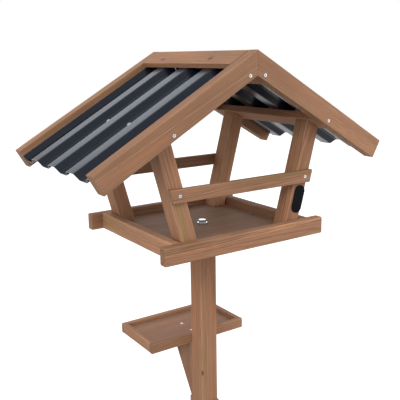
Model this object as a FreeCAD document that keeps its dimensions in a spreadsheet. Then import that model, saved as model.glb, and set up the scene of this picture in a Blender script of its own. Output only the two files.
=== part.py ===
# Bird table on a stand: a roofed feeding tray on four leaning posts, carried by a square stand post.
# A small open shelf hangs on the rear of the post. The roof is a pair of dark trapezoidal sheets
# laid between two timber gables.
#
# Frame: X runs along the gable front, to the right. Y runs from front to rear. Z is up.
# The origin lies on the ground under the middle of the stand post. Lengths are millimetres.
#
# A roof half is drawn flat in its own slope frame: local X runs down the slope from the ridge line,
# and depth below the roof's outer face is local -Z. The right half is modelled, the left mirrors it.

import FreeCAD, Part
import os
import Sketcher

Vector = FreeCAD.Vector
Rotation = FreeCAD.Rotation

SIZES = [
    ("tray_height", 998, "ground to the underside of the tray boards"),
    ("tray_width", 363, "over the outer faces of the tray's side boards"),
    ("tray_depth", 365, "over the outer faces of the tray's front and rear boards"),
    ("tray_board_length", 420, "front and rear tray boards, which run past the corners"),
    ("tray_board_thickness", 22, "all four tray boards"),
    ("tray_board_height", 38.5, "all four tray boards"),
    ("tray_ease", 3, "radius on the tray boards' long edges"),
    ("floor_thickness", 12, "tray floor panel"),
    ("floor_lift", 7, "underside of the boards to the underside of the floor"),
    ("groove_depth", 5, "groove in the tray boards that holds the floor"),
    ("groove_gap", 0.5, "free gap between the floor's edge and the groove's bottom"),
    ("bearer_width", 45, "cross bearer under the floor"),
    ("bearer_thickness", 18, "cross bearer under the floor"),
    ("dowel_diameter", 6, "dowels in the tray corners"),
    ("dowel_length", 30, "dowels in the tray corners"),
    ("dowel_spacing", 14, "between the two dowels of a corner"),
    ("post_gap", 2, "free gap between a post's foot and the tray boards"),
    ("post_lean", 15.3, "degrees that the four roof posts lean outwards"),
    ("post_width", 36, "roof post, square to its lean"),
    ("post_depth", 39, "roof post, front to rear"),
    ("rail_lift", 83.5, "top of the tray boards to the underside of the rails"),
    ("rail_height", 28, "front and rear rails"),
    ("rail_thickness", 12, "front and rear rails"),
    ("board_ease", 1.5, "radius on the long edges of posts, rails and roof timbers"),
    ("roof_pitch", 30, "degrees of each roof slope"),
    ("roof_rise", 415.5, "underside of the tray boards to the ridge line"),
    ("roof_depth", 414, "over the outer faces of the gable rafters"),
    ("rafter_length", 423, "along the slope from the ridge line"),
    ("rafter_thickness", 27, "gable rafter, front to rear"),
    ("rafter_depth", 44, "gable rafter, square to the slope"),
    ("ridge_board_width", 53, "along the slope from the ridge line"),
    ("ridge_board_thickness", 12, "ridge boards"),
    ("ridge_board_gap", 3, "between the ridge boards' front ends and the front gable"),
    ("sheet_rise", 13.5, "roof sheet, from crest top to valley underside"),
    ("sheet_thickness", 0.7, "roof sheet metal"),
    ("sheet_side_gap", 1, "between a sheet's side edge and the rafter"),
    ("sheet_top_gap", 4.6, "roof's middle plane to the upper edge of a sheet, under the ridge board"),
    ("sheet_eave_gap", 1, "lower edge of a sheet to the rafters' square ends"),
    ("rib_pitch", 96, "from one rib of the sheet to the next"),
    ("rib_crest", 35, "flat top of a rib"),
    ("rib_side", 13, "run of a rib's sloping side"),
    ("first_rib", 59.5, "sheet's rear edge to the crest of the first rib"),
    ("fold_radius", 3, "inside radius of the sheet's folds"),
    ("batten_thickness", 18, "all four battens"),
    ("upper_batten_gap", 0.3, "roof's middle plane to the inner edge of an upper batten"),
    ("upper_batten_width", 40, "upper battens, along the slope"),
    ("lower_batten_width", 45, "lower battens, along the slope"),
    ("stand_width", 45, "square stand post"),
    ("stand_ease", 2, "radius on the long edges of the stand post, feet and braces"),
    ("splice_length", 160, "plates over the joint of the two stand posts"),
    ("splice_thickness", 12, "plates over the joint of the two stand posts"),
    ("splice_bevel", 3, "bevel on the top and bottom edges of the plates"),
    ("splice_gap", 1, "bracket's toe to the top of the splice plates"),
    ("shelf_height", 708.5, "ground to the underside of the shelf"),
    ("shelf_width", 270, "shelf, along X"),
    ("shelf_depth", 157.5, "shelf, front to rear"),
    ("shelf_wall_height", 25, "walls of the shelf"),
    ("shelf_wall_thickness", 12, "walls of the shelf"),
    ("shelf_floor_thickness", 15.5, "floor panel of the shelf"),
    ("bracket_reach", 95, "top of the bracket, from the post's rear face"),
    ("bracket_toe", 6.5, "thickness of the bracket at its lower end"),
    ("bracket_height", 144.5, "bracket under the shelf"),
    ("foot_length", 600, "each board of the cross foot"),
    ("foot_width", 45, "each board of the cross foot"),
    ("foot_height", 45, "each board of the cross foot"),
    ("brace_reach", 160, "post face to the brace's lower corner, and foot to its upper corner"),
    ("brace_width", 36, "brace, square to its length"),
    ("brace_thickness", 28, "brace, the other way"),
    ("badge_width", 28, "plain badge on the front right post"),
    ("badge_length", 63, "plain badge on the front right post"),
    ("badge_thickness", 2, "plain badge on the front right post"),
    ("badge_corner", 13, "corner radius of the badge"),
    ("badge_lift", 45.5, "top of the tray boards to the middle of the badge"),
    ("bolt_diameter", 10, "coach bolt in the middle of the tray"),
    ("bolt_length", 80, "coach bolt, under its head"),
    ("bolt_flats", 17, "across the flats of the bolt head"),
    ("bolt_head_height", 6.5, "bolt head"),
    ("washer_diameter", 24, "washer under the bolt head"),
    ("washer_thickness", 2, "washer under the bolt head"),
    ("screw_diameter", 4.5, "shank of the wood screws"),
    ("screw_head", 9, "head of the wood screws"),
    ("screw_land", 0.6, "straight rim of a countersunk head"),
    ("long_screw_length", 60, "screws of the rafters, post tops and bracket"),
    ("middle_screw_length", 45, "screws of the post feet and braces"),
    ("short_screw_length", 30, "screws of the rails and splice plates"),
    ("floor_screw_length", 24, "screws of the tray floor and shelf floor"),
    ("ridge_screw_length", 40, "screws that reach the ridge boards from below"),
    ("base_screw_length", 90, "screws up through the cross foot into the stand post"),
    ("sheet_screw_length", 16, "screws of the roof sheets, under the head"),
    ("sheet_screw_head_height", 4, "domed head of a roof sheet screw"),
    ("rafter_screw_inset", 16, "upper edge of the upper battens to their end screws"),
    ("eave_screw_inset", 18, "upper edge of the lower battens to their end screws"),
    ("sheet_screw_inset", 20, "upper edge of the lower battens to the roof sheet screws"),
    ("floor_screw_inset", 14.5, "side boards' inner faces to the floor screws"),
    ("shelf_screw_inset", 33.5, "post's rear face to the first shelf screw"),
    ("shelf_screw_spacing", 48, "between the two shelf screws"),
    ("bracket_screw_rise", 50, "bracket's toe to its screws, along the sloping face"),
    ("bracket_screw_spacing", 22, "between the two bracket screws"),
    ("brace_screw_inset", 22, "corner of a brace to its screw, along the outer face"),
    ("base_screw_spacing", 22, "between the two screws under the stand post"),
    ("splice_screw_spacing", 40, "between neighbouring screws of a splice plate"),
]

SCREW_SIDES = 6

doc = FreeCAD.newDocument("BirdTable")
sizes = doc.addObject("Spreadsheet::Sheet", "Sizes")
for row, (alias, value, meaning) in enumerate(SIZES, start=1):
    sizes.set(f"A{row}", alias)
    sizes.set(f"B{row}", str(value))
    sizes.set(f"C{row}", meaning)
    sizes.setAlias(f"B{row}", alias)
doc.recompute()

# Places that several pieces share, worked out from the sizes.
LAYOUT = [
    ("inner_x", "Sizes.tray_width / 2 - Sizes.tray_board_thickness"),
    ("inner_y", "Sizes.tray_depth / 2 - Sizes.tray_board_thickness"),
    ("board_top", "Sizes.tray_height + Sizes.tray_board_height"),
    ("floor_under", "Sizes.tray_height + Sizes.floor_lift"),
    ("floor_top", "Layout.floor_under + Sizes.floor_thickness"),
    ("stand_top", "Layout.floor_under - Sizes.bearer_thickness"),
    ("ridge_z", "Sizes.tray_height + Sizes.roof_rise"),
    ("batten_outer", "Sizes.ridge_board_thickness + Sizes.sheet_rise"),
    ("batten_inner", "Layout.batten_outer + Sizes.batten_thickness"),
    ("roof_inner_y", "Sizes.roof_depth / 2 - Sizes.rafter_thickness"),
    ("rafter_y", "Sizes.roof_depth / 2 - Sizes.rafter_thickness / 2"),
    ("post_face_y", "Layout.inner_y - Sizes.post_gap"),
    ("post_y", "Layout.post_face_y - Sizes.post_depth / 2"),
    ("post_half", "Sizes.post_width / 2 / cos(Sizes.post_lean)"),
    ("post_foot_x", "Layout.inner_x - Sizes.post_gap - Layout.post_half"
                    " - (Layout.board_top - Layout.floor_top) * tan(Sizes.post_lean)"),
    ("top_slant", "tan(Sizes.roof_pitch) / (1 + tan(Sizes.post_lean) * tan(Sizes.roof_pitch))"),
    ("post_top_z", "(Layout.ridge_z - Layout.batten_inner / cos(Sizes.roof_pitch) - (Layout.post_foot_x"
                   " - Layout.floor_top * tan(Sizes.post_lean)) * tan(Sizes.roof_pitch))"
                   " / (1 + tan(Sizes.post_lean) * tan(Sizes.roof_pitch))"),
    ("post_top_x", "Layout.post_foot_x + (Layout.post_top_z - Layout.floor_top) * tan(Sizes.post_lean)"),
    ("lower_batten_middle", "(Layout.post_top_x + Layout.batten_inner * sin(Sizes.roof_pitch))"
                            " / cos(Sizes.roof_pitch)"),
    ("rail_bottom", "Layout.board_top + Sizes.rail_lift"),
    ("rail_top", "Layout.rail_bottom + Sizes.rail_height"),
    ("sheet_half_y", "Layout.roof_inner_y - Sizes.sheet_side_gap"),
    ("sheet_slope", "(Sizes.sheet_rise - Sizes.sheet_thickness) / Sizes.rib_side"),
    ("fold_shift", "Sizes.sheet_thickness * (sqrt(1 + Layout.sheet_slope ^ 2) - 1) / Layout.sheet_slope"),
    ("first_valley_y", "Layout.sheet_half_y - Sizes.first_rib - Sizes.rib_crest / 2 - Sizes.rib_pitch / 2"),
    ("upper_batten_start", "(Layout.batten_inner * sin(Sizes.roof_pitch) + Sizes.upper_batten_gap)"
                           " / cos(Sizes.roof_pitch)"),
    ("sheet_start", "(Layout.batten_outer * sin(Sizes.roof_pitch) + Sizes.sheet_top_gap)"
                    " / cos(Sizes.roof_pitch)"),
    ("sheet_length", "Sizes.rafter_length - Sizes.sheet_eave_gap - Layout.sheet_start"),
    ("stand_half", "Sizes.stand_width / 2"),
    ("splice_z", "Sizes.shelf_height - Sizes.bracket_height - Sizes.splice_gap - Sizes.splice_length / 2"),
    ("shelf_floor_top", "Sizes.shelf_height + Sizes.shelf_floor_thickness"),
    ("bracket_slope", "atan((Sizes.bracket_reach - Sizes.bracket_toe) / Sizes.bracket_height) / 1 deg"),
    ("brace_band", "Sizes.brace_width * sqrt(2)"),
]
layout = doc.addObject("App::VarSet", "Layout")
for name, formula in LAYOUT:
    layout.addProperty("App::PropertyFloat", name, "Layout")
for name, formula in LAYOUT:
    layout.setExpression(name, formula.replace("Layout.", ""))
doc.recompute()

nodes = []


def keep(node, part):
    """Label a finished sub-part with its node name and list it for export."""
    part.Label = node
    nodes.append(part)
    return part


def bind(part, formulas):
    """Bind properties of a part to formulas of the sizes."""
    for path, formula in formulas.items():
        part.setExpression(path, formula)


def put(part, x="0", y="0", z="0", axis=(0, 0, 1), angle=None):
    """Bind a part's place, and its turn about one fixed axis."""
    if angle is not None:
        part.Placement = FreeCAD.Placement(Vector(0, 0, 0), Rotation(Vector(*axis), 10))
        part.setExpression("Placement.Rotation.Angle", angle)
    bind(part, {"Placement.Base.x": x, "Placement.Base.y": y, "Placement.Base.z": z})


def slope_place(along, depth):
    """Formulas for X and Z of a point of the right roof slope."""
    x = f"({along}) * cos(Sizes.roof_pitch) - ({depth}) * sin(Sizes.roof_pitch)"
    z = f"Layout.ridge_z - ({along}) * sin(Sizes.roof_pitch) - ({depth}) * cos(Sizes.roof_pitch)"
    return x, z


def post_axis_x(height):
    """Formula for X of the right posts' centreline at a height."""
    return f"(Layout.post_foot_x + ({height} - Layout.floor_top) * tan(Sizes.post_lean))"


def edges_along(shape, direction):
    """Names of a shape's straight edges that run along a direction."""
    names = []
    for number, edge in enumerate(shape.Edges, start=1):
        if abs(edge.tangentAt(edge.FirstParameter).dot(direction)) > 0.999999:
            names.append(f"Edge{number}")
    return names


def plane_sketch(body, role, name):
    """A sketch on one of the body's own origin planes."""
    sketch = body.newObject("Sketcher::SketchObject", name)
    plane = [feature for feature in body.Origin.OriginFeatures if feature.Role == role][0]
    sketch.AttachmentSupport = [(plane, "")]
    sketch.MapMode = "FlatFace"
    return sketch


def draw_outline(sketch, corners):
    """Draw a closed outline whose corners are pairs of formulas, each bound by a constraint."""
    points = [Vector(float(sketch.evalExpression(x)), float(sketch.evalExpression(y)), 0) for x, y in corners]
    for number, point in enumerate(points):
        sketch.addGeometry(Part.LineSegment(point, points[(number + 1) % len(points)]), False)
    for number in range(len(points)):
        sketch.addConstraint(Sketcher.Constraint("Coincident", number, 2, (number + 1) % len(points), 1))
    for number, (point, corner) in enumerate(zip(points, corners)):
        for kind, axis_line, value, formula in (
            ("DistanceX", -2, point.x, corner[0]),
            ("DistanceY", -1, point.y, corner[1]),
        ):
            if formula == "0":
                sketch.addConstraint(Sketcher.Constraint("PointOnObject", number, 1, axis_line))
            else:
                index = sketch.addConstraint(Sketcher.Constraint(kind, -1, 1, number, 1, value))
                sketch.setExpression(f"Constraints[{index}]", formula)


def ease_edges(body, feature, edges, size):
    """Break some edges of a body's feature with a small bevel."""
    eased = body.newObject("PartDesign::Chamfer", f"{body.Name}_eased")
    eased.Base = (feature, edges)
    eased.setExpression("Size", size)
    body.Tip = eased


def board(name, size, corner, grain, ease, grooves=()):
    """A square-cut board from its sizes along X, Y and Z and its lowest corner, with eased edges."""
    body = doc.addObject("PartDesign::Body", name)
    block = body.newObject("PartDesign::AdditiveBox", f"{name}_block")
    bind(block, {"Length": size[0], "Width": size[1], "Height": size[2]})
    feature = block
    for number, (groove_size, groove_corner) in enumerate(grooves):
        feature = body.newObject("PartDesign::SubtractiveBox", f"{name}_groove_{number}")
        bind(feature, {"Length": groove_size[0], "Width": groove_size[1], "Height": groove_size[2]})
        put(feature, *groove_corner)
    if ease:
        doc.recompute()
        ease_edges(body, feature, outside_edges(feature.Shape, block.Shape.BoundBox, grain), ease)
    put(body, *corner)
    return body


def outside_edges(shape, box, grain):
    """Names of the edges along the grain that lie on the box's own edges, not those of grooves."""
    outside = []
    for number, edge in enumerate(shape.Edges, start=1):
        middle = edge.CenterOfMass
        limits = [
            (middle.x, box.XMin, box.XMax),
            (middle.y, box.YMin, box.YMax),
            (middle.z, box.ZMin, box.ZMax),
        ]
        on_limits = sum(min(abs(value - low), abs(value - high)) < 0.001 for value, low, high in limits)
        if on_limits == 2 and abs(edge.tangentAt(edge.FirstParameter).dot(Vector(*grain))) > 0.999999:
            outside.append(f"Edge{number}")
    return outside


def shaped_board(name, plane, corners, thickness, grain, ease):
    """A board padded both ways from an outline on an origin plane, with its long edges eased."""
    body = doc.addObject("PartDesign::Body", name)
    sketch = plane_sketch(body, plane, f"{name}_outline")
    draw_outline(sketch, corners)
    pad = body.newObject("PartDesign::Pad", f"{name}_pad")
    pad.Profile = sketch
    pad.Midplane = True
    pad.setExpression("Length", thickness)
    body.Tip = pad
    if ease:
        doc.recompute()
        ease_edges(body, pad, edges_along(pad.Shape, Vector(*grain)), ease)
    return body


def slope_board(name, corners, length, middle_y="0", grain=(0, 1, 0)):
    """A roof timber from its outline in the slope frame, as pairs of distance down the slope and depth."""
    outline = [(along, "0" if depth == "0" else f"-({depth})") for along, depth in corners]
    body = shaped_board(name, "XZ_Plane", outline, length, grain, "Sizes.board_ease")
    put(body, y=middle_y, z="Layout.ridge_z", axis=(0, 1, 0), angle="Sizes.roof_pitch")
    return body


def mirrored(source, name, normal):
    """The mirror image of a part in the plane through the origin with this normal."""
    mirror = doc.addObject("Part::Mirroring", name)
    mirror.Source = source
    mirror.Normal = Vector(*normal)
    return mirror


def group(name, members):
    """Several separate solids in one node."""
    compound = doc.addObject("Part::Compound", name)
    compound.Links = members
    return compound


def drilled(name, blank, fasteners):
    """A blank with the holes that its fasteners fill."""
    tool = fasteners[0]
    if len(fasteners) > 1:
        tool = group(f"{name}_fasteners", fasteners)
    cut = doc.addObject("Part::Cut", name)
    cut.Base = blank
    cut.Tool = tool
    return cut


def level_edges(shape, height):
    """Names of a shape's edges that lie at one height."""
    return [f"Edge{number}" for number, edge in enumerate(shape.Edges, start=1)
            if all(abs(vertex.Z - height) < 0.001 for vertex in edge.Vertexes)]


def prism(body, name, radius, bottom, height):
    """An upright prism in a body. There are many screws, so each round part is drawn with six sides."""
    part = body.newObject("PartDesign::AdditivePrism", name)
    part.Polygon = SCREW_SIDES
    bind(part, {"Circumradius": radius, "Height": height, "Placement.Base.z": bottom})
    doc.recompute()
    return part


def bevel_level(body, name, feature, height, size):
    """Bevel the edges of a body's feature at one height."""
    bevel = body.newObject("PartDesign::Chamfer", name)
    bevel.Base = (feature, level_edges(feature.Shape, height))
    bevel.setExpression("Size", size)
    body.Tip = bevel
    doc.recompute()


def add_shank(body, name, top, length):
    """The screw's straight shank, from the underside of its head down to its bevelled point."""
    shank = prism(body, f"{name}_shank", "Sizes.screw_diameter / 2", f"-{length}", f"{length} + ({top})")
    bevel_level(body, f"{name}_point", shank, -float(body.evalExpression(length)),
                "Sizes.screw_diameter * 0.3")


def countersunk(name, length):
    """A countersunk wood screw, flush at the origin: a straight rim, a bevelled head and a shank."""
    body = doc.addObject("PartDesign::Body", name)
    cone = "((Sizes.screw_head - Sizes.screw_diameter) / 2 * cos(30))"
    height = f"(Sizes.screw_land + {cone})"
    head = prism(body, f"{name}_head", "Sizes.screw_head / 2", f"-{height}", height)
    bevel_level(body, f"{name}_cone", head, -float(body.evalExpression(height)), cone)
    add_shank(body, name, f"-{height}", length)
    return body


def domed(name, length):
    """A roof screw with its head's seat at the origin and the upper rim of its head bevelled."""
    body = doc.addObject("PartDesign::Body", name)
    head = prism(body, f"{name}_head", "Sizes.screw_head / 2", "0", "Sizes.sheet_screw_head_height")
    bevel_level(body, f"{name}_rim", head, float(sizes.sheet_screw_head_height),
                "Sizes.sheet_screw_head_height * 0.4")
    add_shank(body, name, "Sizes.sheet_screw_head_height / 2", length)
    return body


def set_screw(name, kind, x, y, z, axis=(1, 0, 0), angle="0"):
    """One copy of a screw, with its head at a place and its point turned about an axis from straight down."""
    link = doc.addObject("App::Link", name)
    link.LinkedObject = kind
    link.LinkTransform = False
    put(link, x, y, z, axis, angle)
    return link


# Kinds of screw
long_screw = countersunk("long_screw", "Sizes.long_screw_length")
middle_screw = countersunk("middle_screw", "Sizes.middle_screw_length")
short_screw = countersunk("short_screw", "Sizes.short_screw_length")
floor_screw = countersunk("floor_screw", "Sizes.floor_screw_length")
ridge_screw = countersunk("ridge_screw", "Sizes.ridge_screw_length")
base_screw = countersunk("base_screw", "Sizes.base_screw_length")
sheet_screw = domed("sheet_screw", "Sizes.sheet_screw_length")

# Screws of the roof and tray, set once at the front right and mirrored to the other corners
UPPER_SCREW = slope_place("Layout.upper_batten_start + Sizes.rafter_screw_inset",
                          "(Layout.batten_outer + Layout.batten_inner) / 2")
EAVE_SCREW = slope_place("Layout.lower_batten_middle - Sizes.lower_batten_width / 2"
                         " + Sizes.eave_screw_inset",
                         "(Layout.batten_outer + Layout.batten_inner) / 2")
rafter_screws_corner = group("rafter_screws_corner", [
    set_screw(f"{place}_rafter_screw", long_screw, x, "-Sizes.roof_depth / 2", z, angle="90")
    for place, (x, z) in (("upper", UPPER_SCREW), ("eave", EAVE_SCREW))
])
RAIL_MIDDLE = "(Layout.rail_bottom + Layout.rail_top) / 2"
rail_screws_corner = group("rail_screws_corner", [
    set_screw("rail_screw", short_screw, post_axis_x(RAIL_MIDDLE),
              "-(Layout.post_face_y + Sizes.rail_thickness)", RAIL_MIDDLE, angle="90"),
])
POST_TOP = slope_place("Layout.lower_batten_middle", "Layout.batten_outer")
post_top_screws_corner = group("post_top_screws_corner", [
    set_screw("post_top_screw", long_screw, POST_TOP[0], "-Layout.post_y", POST_TOP[1], (0, 1, 0),
              "Sizes.roof_pitch"),
])
post_foot_screws_corner = group("post_foot_screws_corner", [
    set_screw("post_foot_screw", middle_screw, "Layout.post_foot_x", "-Layout.post_y", "Layout.floor_under",
              angle="180"),
])


def four_corners(node, corner):
    """Mirror a front right set of fasteners to all four corners."""
    right = group(f"{node}_right", [corner, mirrored(corner, f"{node}_rear_right", (0, 1, 0))])
    return keep(node, group(node, [right, mirrored(right, f"{node}_left", (1, 0, 0))])), right


rafter_screws, rafter_screws_right = four_corners("rafter_screws", rafter_screws_corner)
rail_screws, rail_screws_right = four_corners("rail_screws", rail_screws_corner)
post_top_screws, post_top_screws_right = four_corners("post_top_screws", post_top_screws_corner)
post_foot_screws, post_foot_screws_right = four_corners("post_foot_screws", post_foot_screws_corner)

# Screws of the roof sheets, in the valleys over the lower battens, and of the ridge boards, from below
SHEET_SCREW = slope_place("Layout.lower_batten_middle - Sizes.lower_batten_width / 2"
                          " + Sizes.sheet_screw_inset",
                          "Layout.batten_outer - Sizes.sheet_thickness")
RIDGE_SCREW = slope_place("Layout.upper_batten_start + Sizes.upper_batten_width / 2", "Layout.batten_inner")
sheet_screws_right = group("sheet_screws_right", [
    set_screw(f"sheet_screw_{number}", sheet_screw, SHEET_SCREW[0],
              f"Layout.first_valley_y - {number} * Sizes.rib_pitch",
              SHEET_SCREW[1], (0, 1, 0), "Sizes.roof_pitch")
    for number in (0, 1)
])
ridge_screws_right = group("ridge_screws_right", [
    set_screw(f"ridge_screw_{number}", ridge_screw, RIDGE_SCREW[0],
              f"Layout.first_valley_y - {number} * Sizes.rib_pitch",
              RIDGE_SCREW[1], (0, 1, 0), "Sizes.roof_pitch + 180")
    for number in (0, 2)
])
keep("sheet_screws", group("sheet_screws", [
    sheet_screws_right, mirrored(sheet_screws_right, "sheet_screws_left", (1, 0, 0))]))
keep("ridge_screws", group("ridge_screws", [
    ridge_screws_right, mirrored(ridge_screws_right, "ridge_screws_left", (1, 0, 0))]))

# Gable rafters, mitred at the ridge and cut square at the eaves
rafter_blank = slope_board("rafter_blank", [
    ("0", "0"),
    ("Sizes.rafter_length", "0"),
    ("Sizes.rafter_length", "Sizes.rafter_depth"),
    ("Sizes.rafter_depth * tan(Sizes.roof_pitch)", "Sizes.rafter_depth"),
], "Sizes.rafter_thickness", "-Layout.rafter_y", (1, 0, 0))
rafter_front_right = keep("rafter_front_right", drilled("rafter_front_right", rafter_blank,
                                                        [rafter_screws_corner]))
rafter_front_left = keep("rafter_front_left", mirrored(rafter_front_right, "rafter_front_left", (1, 0, 0)))
keep("rafter_rear_right", mirrored(rafter_front_right, "rafter_rear_right", (0, 1, 0)))
keep("rafter_rear_left", mirrored(rafter_front_left, "rafter_rear_left", (0, 1, 0)))


def batten(side_name, start, width, fasteners):
    """The right batten of a pair, between the gables, and its mirror image."""
    blank = slope_board(f"{side_name}_blank", [
        (start, "Layout.batten_outer"),
        (f"{start} + {width}", "Layout.batten_outer"),
        (f"{start} + {width}", "Layout.batten_inner"),
        (start, "Layout.batten_inner"),
    ], "2 * Layout.roof_inner_y")
    right = keep(f"{side_name}_right", drilled(f"{side_name}_right", blank, fasteners))
    keep(f"{side_name}_left", mirrored(right, f"{side_name}_left", (1, 0, 0)))


batten("batten_upper", "Layout.upper_batten_start", "Sizes.upper_batten_width",
       [rafter_screws_right, ridge_screws_right])
batten("batten_lower", "(Layout.lower_batten_middle - Sizes.lower_batten_width / 2)",
       "Sizes.lower_batten_width", [rafter_screws_right, sheet_screws_right, post_top_screws_right])

# Ridge boards, mitred against each other over the upper edges of the sheets
ridge_blank = slope_board("ridge_board_blank", [
    ("0", "0"),
    ("Sizes.ridge_board_width", "0"),
    ("Sizes.ridge_board_width", "Sizes.ridge_board_thickness"),
    ("Sizes.ridge_board_thickness * tan(Sizes.roof_pitch)", "Sizes.ridge_board_thickness"),
], "2 * Layout.roof_inner_y - Sizes.ridge_board_gap", "Sizes.ridge_board_gap / 2")
ridge_right = keep("ridge_board_right", drilled("ridge_board_right", ridge_blank, [ridge_screws_right]))
keep("ridge_board_left", mirrored(ridge_right, "ridge_board_left", (1, 0, 0)))


def roof_sheet_blank():
    """The right roof sheet: one folded rib, repeated across the roof, to be trimmed between the gables."""
    body = doc.addObject("PartDesign::Body", "sheet_blank")
    sketch = plane_sketch(body, "YZ_Plane", "rib_profile")
    middle = "(Layout.sheet_half_y - Sizes.first_rib - Sizes.rib_crest / 2 + Sizes.rib_pitch)"
    crest = "-Sizes.ridge_board_thickness"
    valley = "-(Layout.batten_outer - Sizes.sheet_thickness)"
    upper = [
        ("-Sizes.rib_pitch / 2", valley),
        ("-(Sizes.rib_crest / 2 + Sizes.rib_side)", valley),
        ("-Sizes.rib_crest / 2", crest),
        ("Sizes.rib_crest / 2", crest),
        ("Sizes.rib_crest / 2 + Sizes.rib_side", valley),
        ("Sizes.rib_pitch / 2", valley),
    ]
    shifts = ["0", "Layout.fold_shift", "Layout.fold_shift", "-Layout.fold_shift", "-Layout.fold_shift", "0"]
    lower = [(f"{along} + {shift}", f"{depth} - Sizes.sheet_thickness")
             for (along, depth), shift in zip(upper, shifts)]
    draw_outline(sketch, [(f"{middle} + {along}", depth) for along, depth in upper + lower[::-1]])
    pad = body.newObject("PartDesign::Pad", "rib_pad")
    pad.Profile = sketch
    pad.setExpression("Length", "Layout.sheet_length")
    ribs = body.newObject("PartDesign::LinearPattern", "ribs")
    ribs.Originals = [pad]
    ribs.Direction = (sketch, ["H_Axis"])
    ribs.Reversed = True
    ribs.setExpression("Occurrences", "ceil((2 * Layout.sheet_half_y - Sizes.first_rib - Sizes.rib_crest / 2)"
                                      " / Sizes.rib_pitch + 1.5)")
    doc.recompute()
    ribs.setExpression("Length", "(ceil((2 * Layout.sheet_half_y - Sizes.first_rib - Sizes.rib_crest / 2)"
                                 " / Sizes.rib_pitch + 1.5) - 1) * Sizes.rib_pitch")
    ribs.Refine = True
    body.Tip = ribs
    doc.recompute()
    return body, ribs


def rounded_folds(body, ribs):
    """Give every fold its inside radius, and the same radius plus the metal's thickness outside."""
    crest = -sizes.ridge_board_thickness
    metal = sizes.sheet_thickness
    inside_levels = (crest - metal, crest - sizes.sheet_rise + metal)
    outside_levels = (crest, crest - sizes.sheet_rise)
    feature = ribs
    for name, levels, radius in (
        ("inside_folds", inside_levels, "Sizes.fold_radius"),
        ("outside_folds", outside_levels, "Sizes.fold_radius + Sizes.sheet_thickness"),
    ):
        folds = []
        box = feature.Shape.BoundBox
        for number, edge in enumerate(feature.Shape.Edges, start=1):
            middle = edge.CenterOfMass
            on_level = min(abs(middle.z - level) for level in levels) < 0.001
            at_end = min(abs(middle.y - box.YMin), abs(middle.y - box.YMax)) < 0.001
            straight = abs(edge.tangentAt(edge.FirstParameter).x) > 0.999999
            if on_level and straight and not at_end:
                folds.append(f"Edge{number}")
        rounded = body.newObject("PartDesign::Fillet", name)
        rounded.Base = (feature, folds)
        rounded.setExpression("Radius", radius)
        body.Tip = rounded
        doc.recompute()
        feature = rounded


sheet_body, sheet_ribs = roof_sheet_blank()
rounded_folds(sheet_body, sheet_ribs)
SHEET_START = slope_place("Layout.sheet_start", "0")
put(sheet_body, SHEET_START[0], "0", SHEET_START[1], (0, 1, 0), "Sizes.roof_pitch")
trim_box = doc.addObject("Part::Box", "sheet_trim")
bind(trim_box, {
    "Length": "Layout.sheet_length",
    "Width": "2 * Layout.sheet_half_y",
    "Height": "Layout.batten_inner",
})
TRIM_START = slope_place("Layout.sheet_start", "Layout.batten_inner")
put(trim_box, TRIM_START[0], "-Layout.sheet_half_y", TRIM_START[1], (0, 1, 0), "Sizes.roof_pitch")
trimmed_sheet = doc.addObject("Part::Common", "sheet_trimmed")
trimmed_sheet.Base = sheet_body
trimmed_sheet.Tool = trim_box
sheet_right = keep("roof_sheet_right", drilled("roof_sheet_right", trimmed_sheet,
                                               [sheet_screws_right, ridge_screws_right]))
keep("roof_sheet_left", mirrored(sheet_right, "roof_sheet_left", (1, 0, 0)))


# Leaning posts: cut level on the floor and bevelled to the roof slope under the lower battens
def post_top(side):
    """Formulas for the post's top corner on one side of its centreline."""
    x = f"Layout.post_top_x + {side} * Layout.post_half * (1 - Layout.top_slant * tan(Sizes.post_lean))"
    z = f"Layout.post_top_z - {side} * Layout.post_half * Layout.top_slant"
    return x, z


POST_GRAIN = (sizes.evalExpression("sin(Sizes.post_lean)"), 0, sizes.evalExpression("cos(Sizes.post_lean)"))
post_blank = shaped_board("post_blank", "XZ_Plane", [
    ("Layout.post_foot_x + Layout.post_half", "Layout.floor_top"),
    ("Layout.post_foot_x - Layout.post_half", "Layout.floor_top"),
    post_top(-1),
    post_top(1),
], "Sizes.post_depth", POST_GRAIN, "Sizes.board_ease")
put(post_blank, y="-Layout.post_y")
post_front_right = keep("post_front_right", drilled("post_front_right", post_blank, [
    rail_screws_corner, post_top_screws_corner, post_foot_screws_corner]))
post_front_left = keep("post_front_left", mirrored(post_front_right, "post_front_left", (1, 0, 0)))
keep("post_rear_right", mirrored(post_front_right, "post_rear_right", (0, 1, 0)))
keep("post_rear_left", mirrored(post_front_left, "post_rear_left", (0, 1, 0)))

# Rails across the posts' outer faces, with ends cut flush with the lean
RAIL_LOW = f"({post_axis_x('Layout.rail_bottom')} + Layout.post_half)"
RAIL_HIGH = f"({post_axis_x('Layout.rail_top')} + Layout.post_half)"
rail_blank = shaped_board("rail_blank", "XZ_Plane", [
    (f"-{RAIL_LOW}", "Layout.rail_bottom"),
    (RAIL_LOW, "Layout.rail_bottom"),
    (RAIL_HIGH, "Layout.rail_top"),
    (f"-{RAIL_HIGH}", "Layout.rail_top"),
], "Sizes.rail_thickness", (1, 0, 0), "Sizes.board_ease")
put(rail_blank, y="-(Layout.post_face_y + Sizes.rail_thickness / 2)")
rail_front = keep("rail_front", drilled("rail_front", rail_blank, [rail_screws]))
keep("rail_rear", mirrored(rail_front, "rail_rear", (0, 1, 0)))

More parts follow.
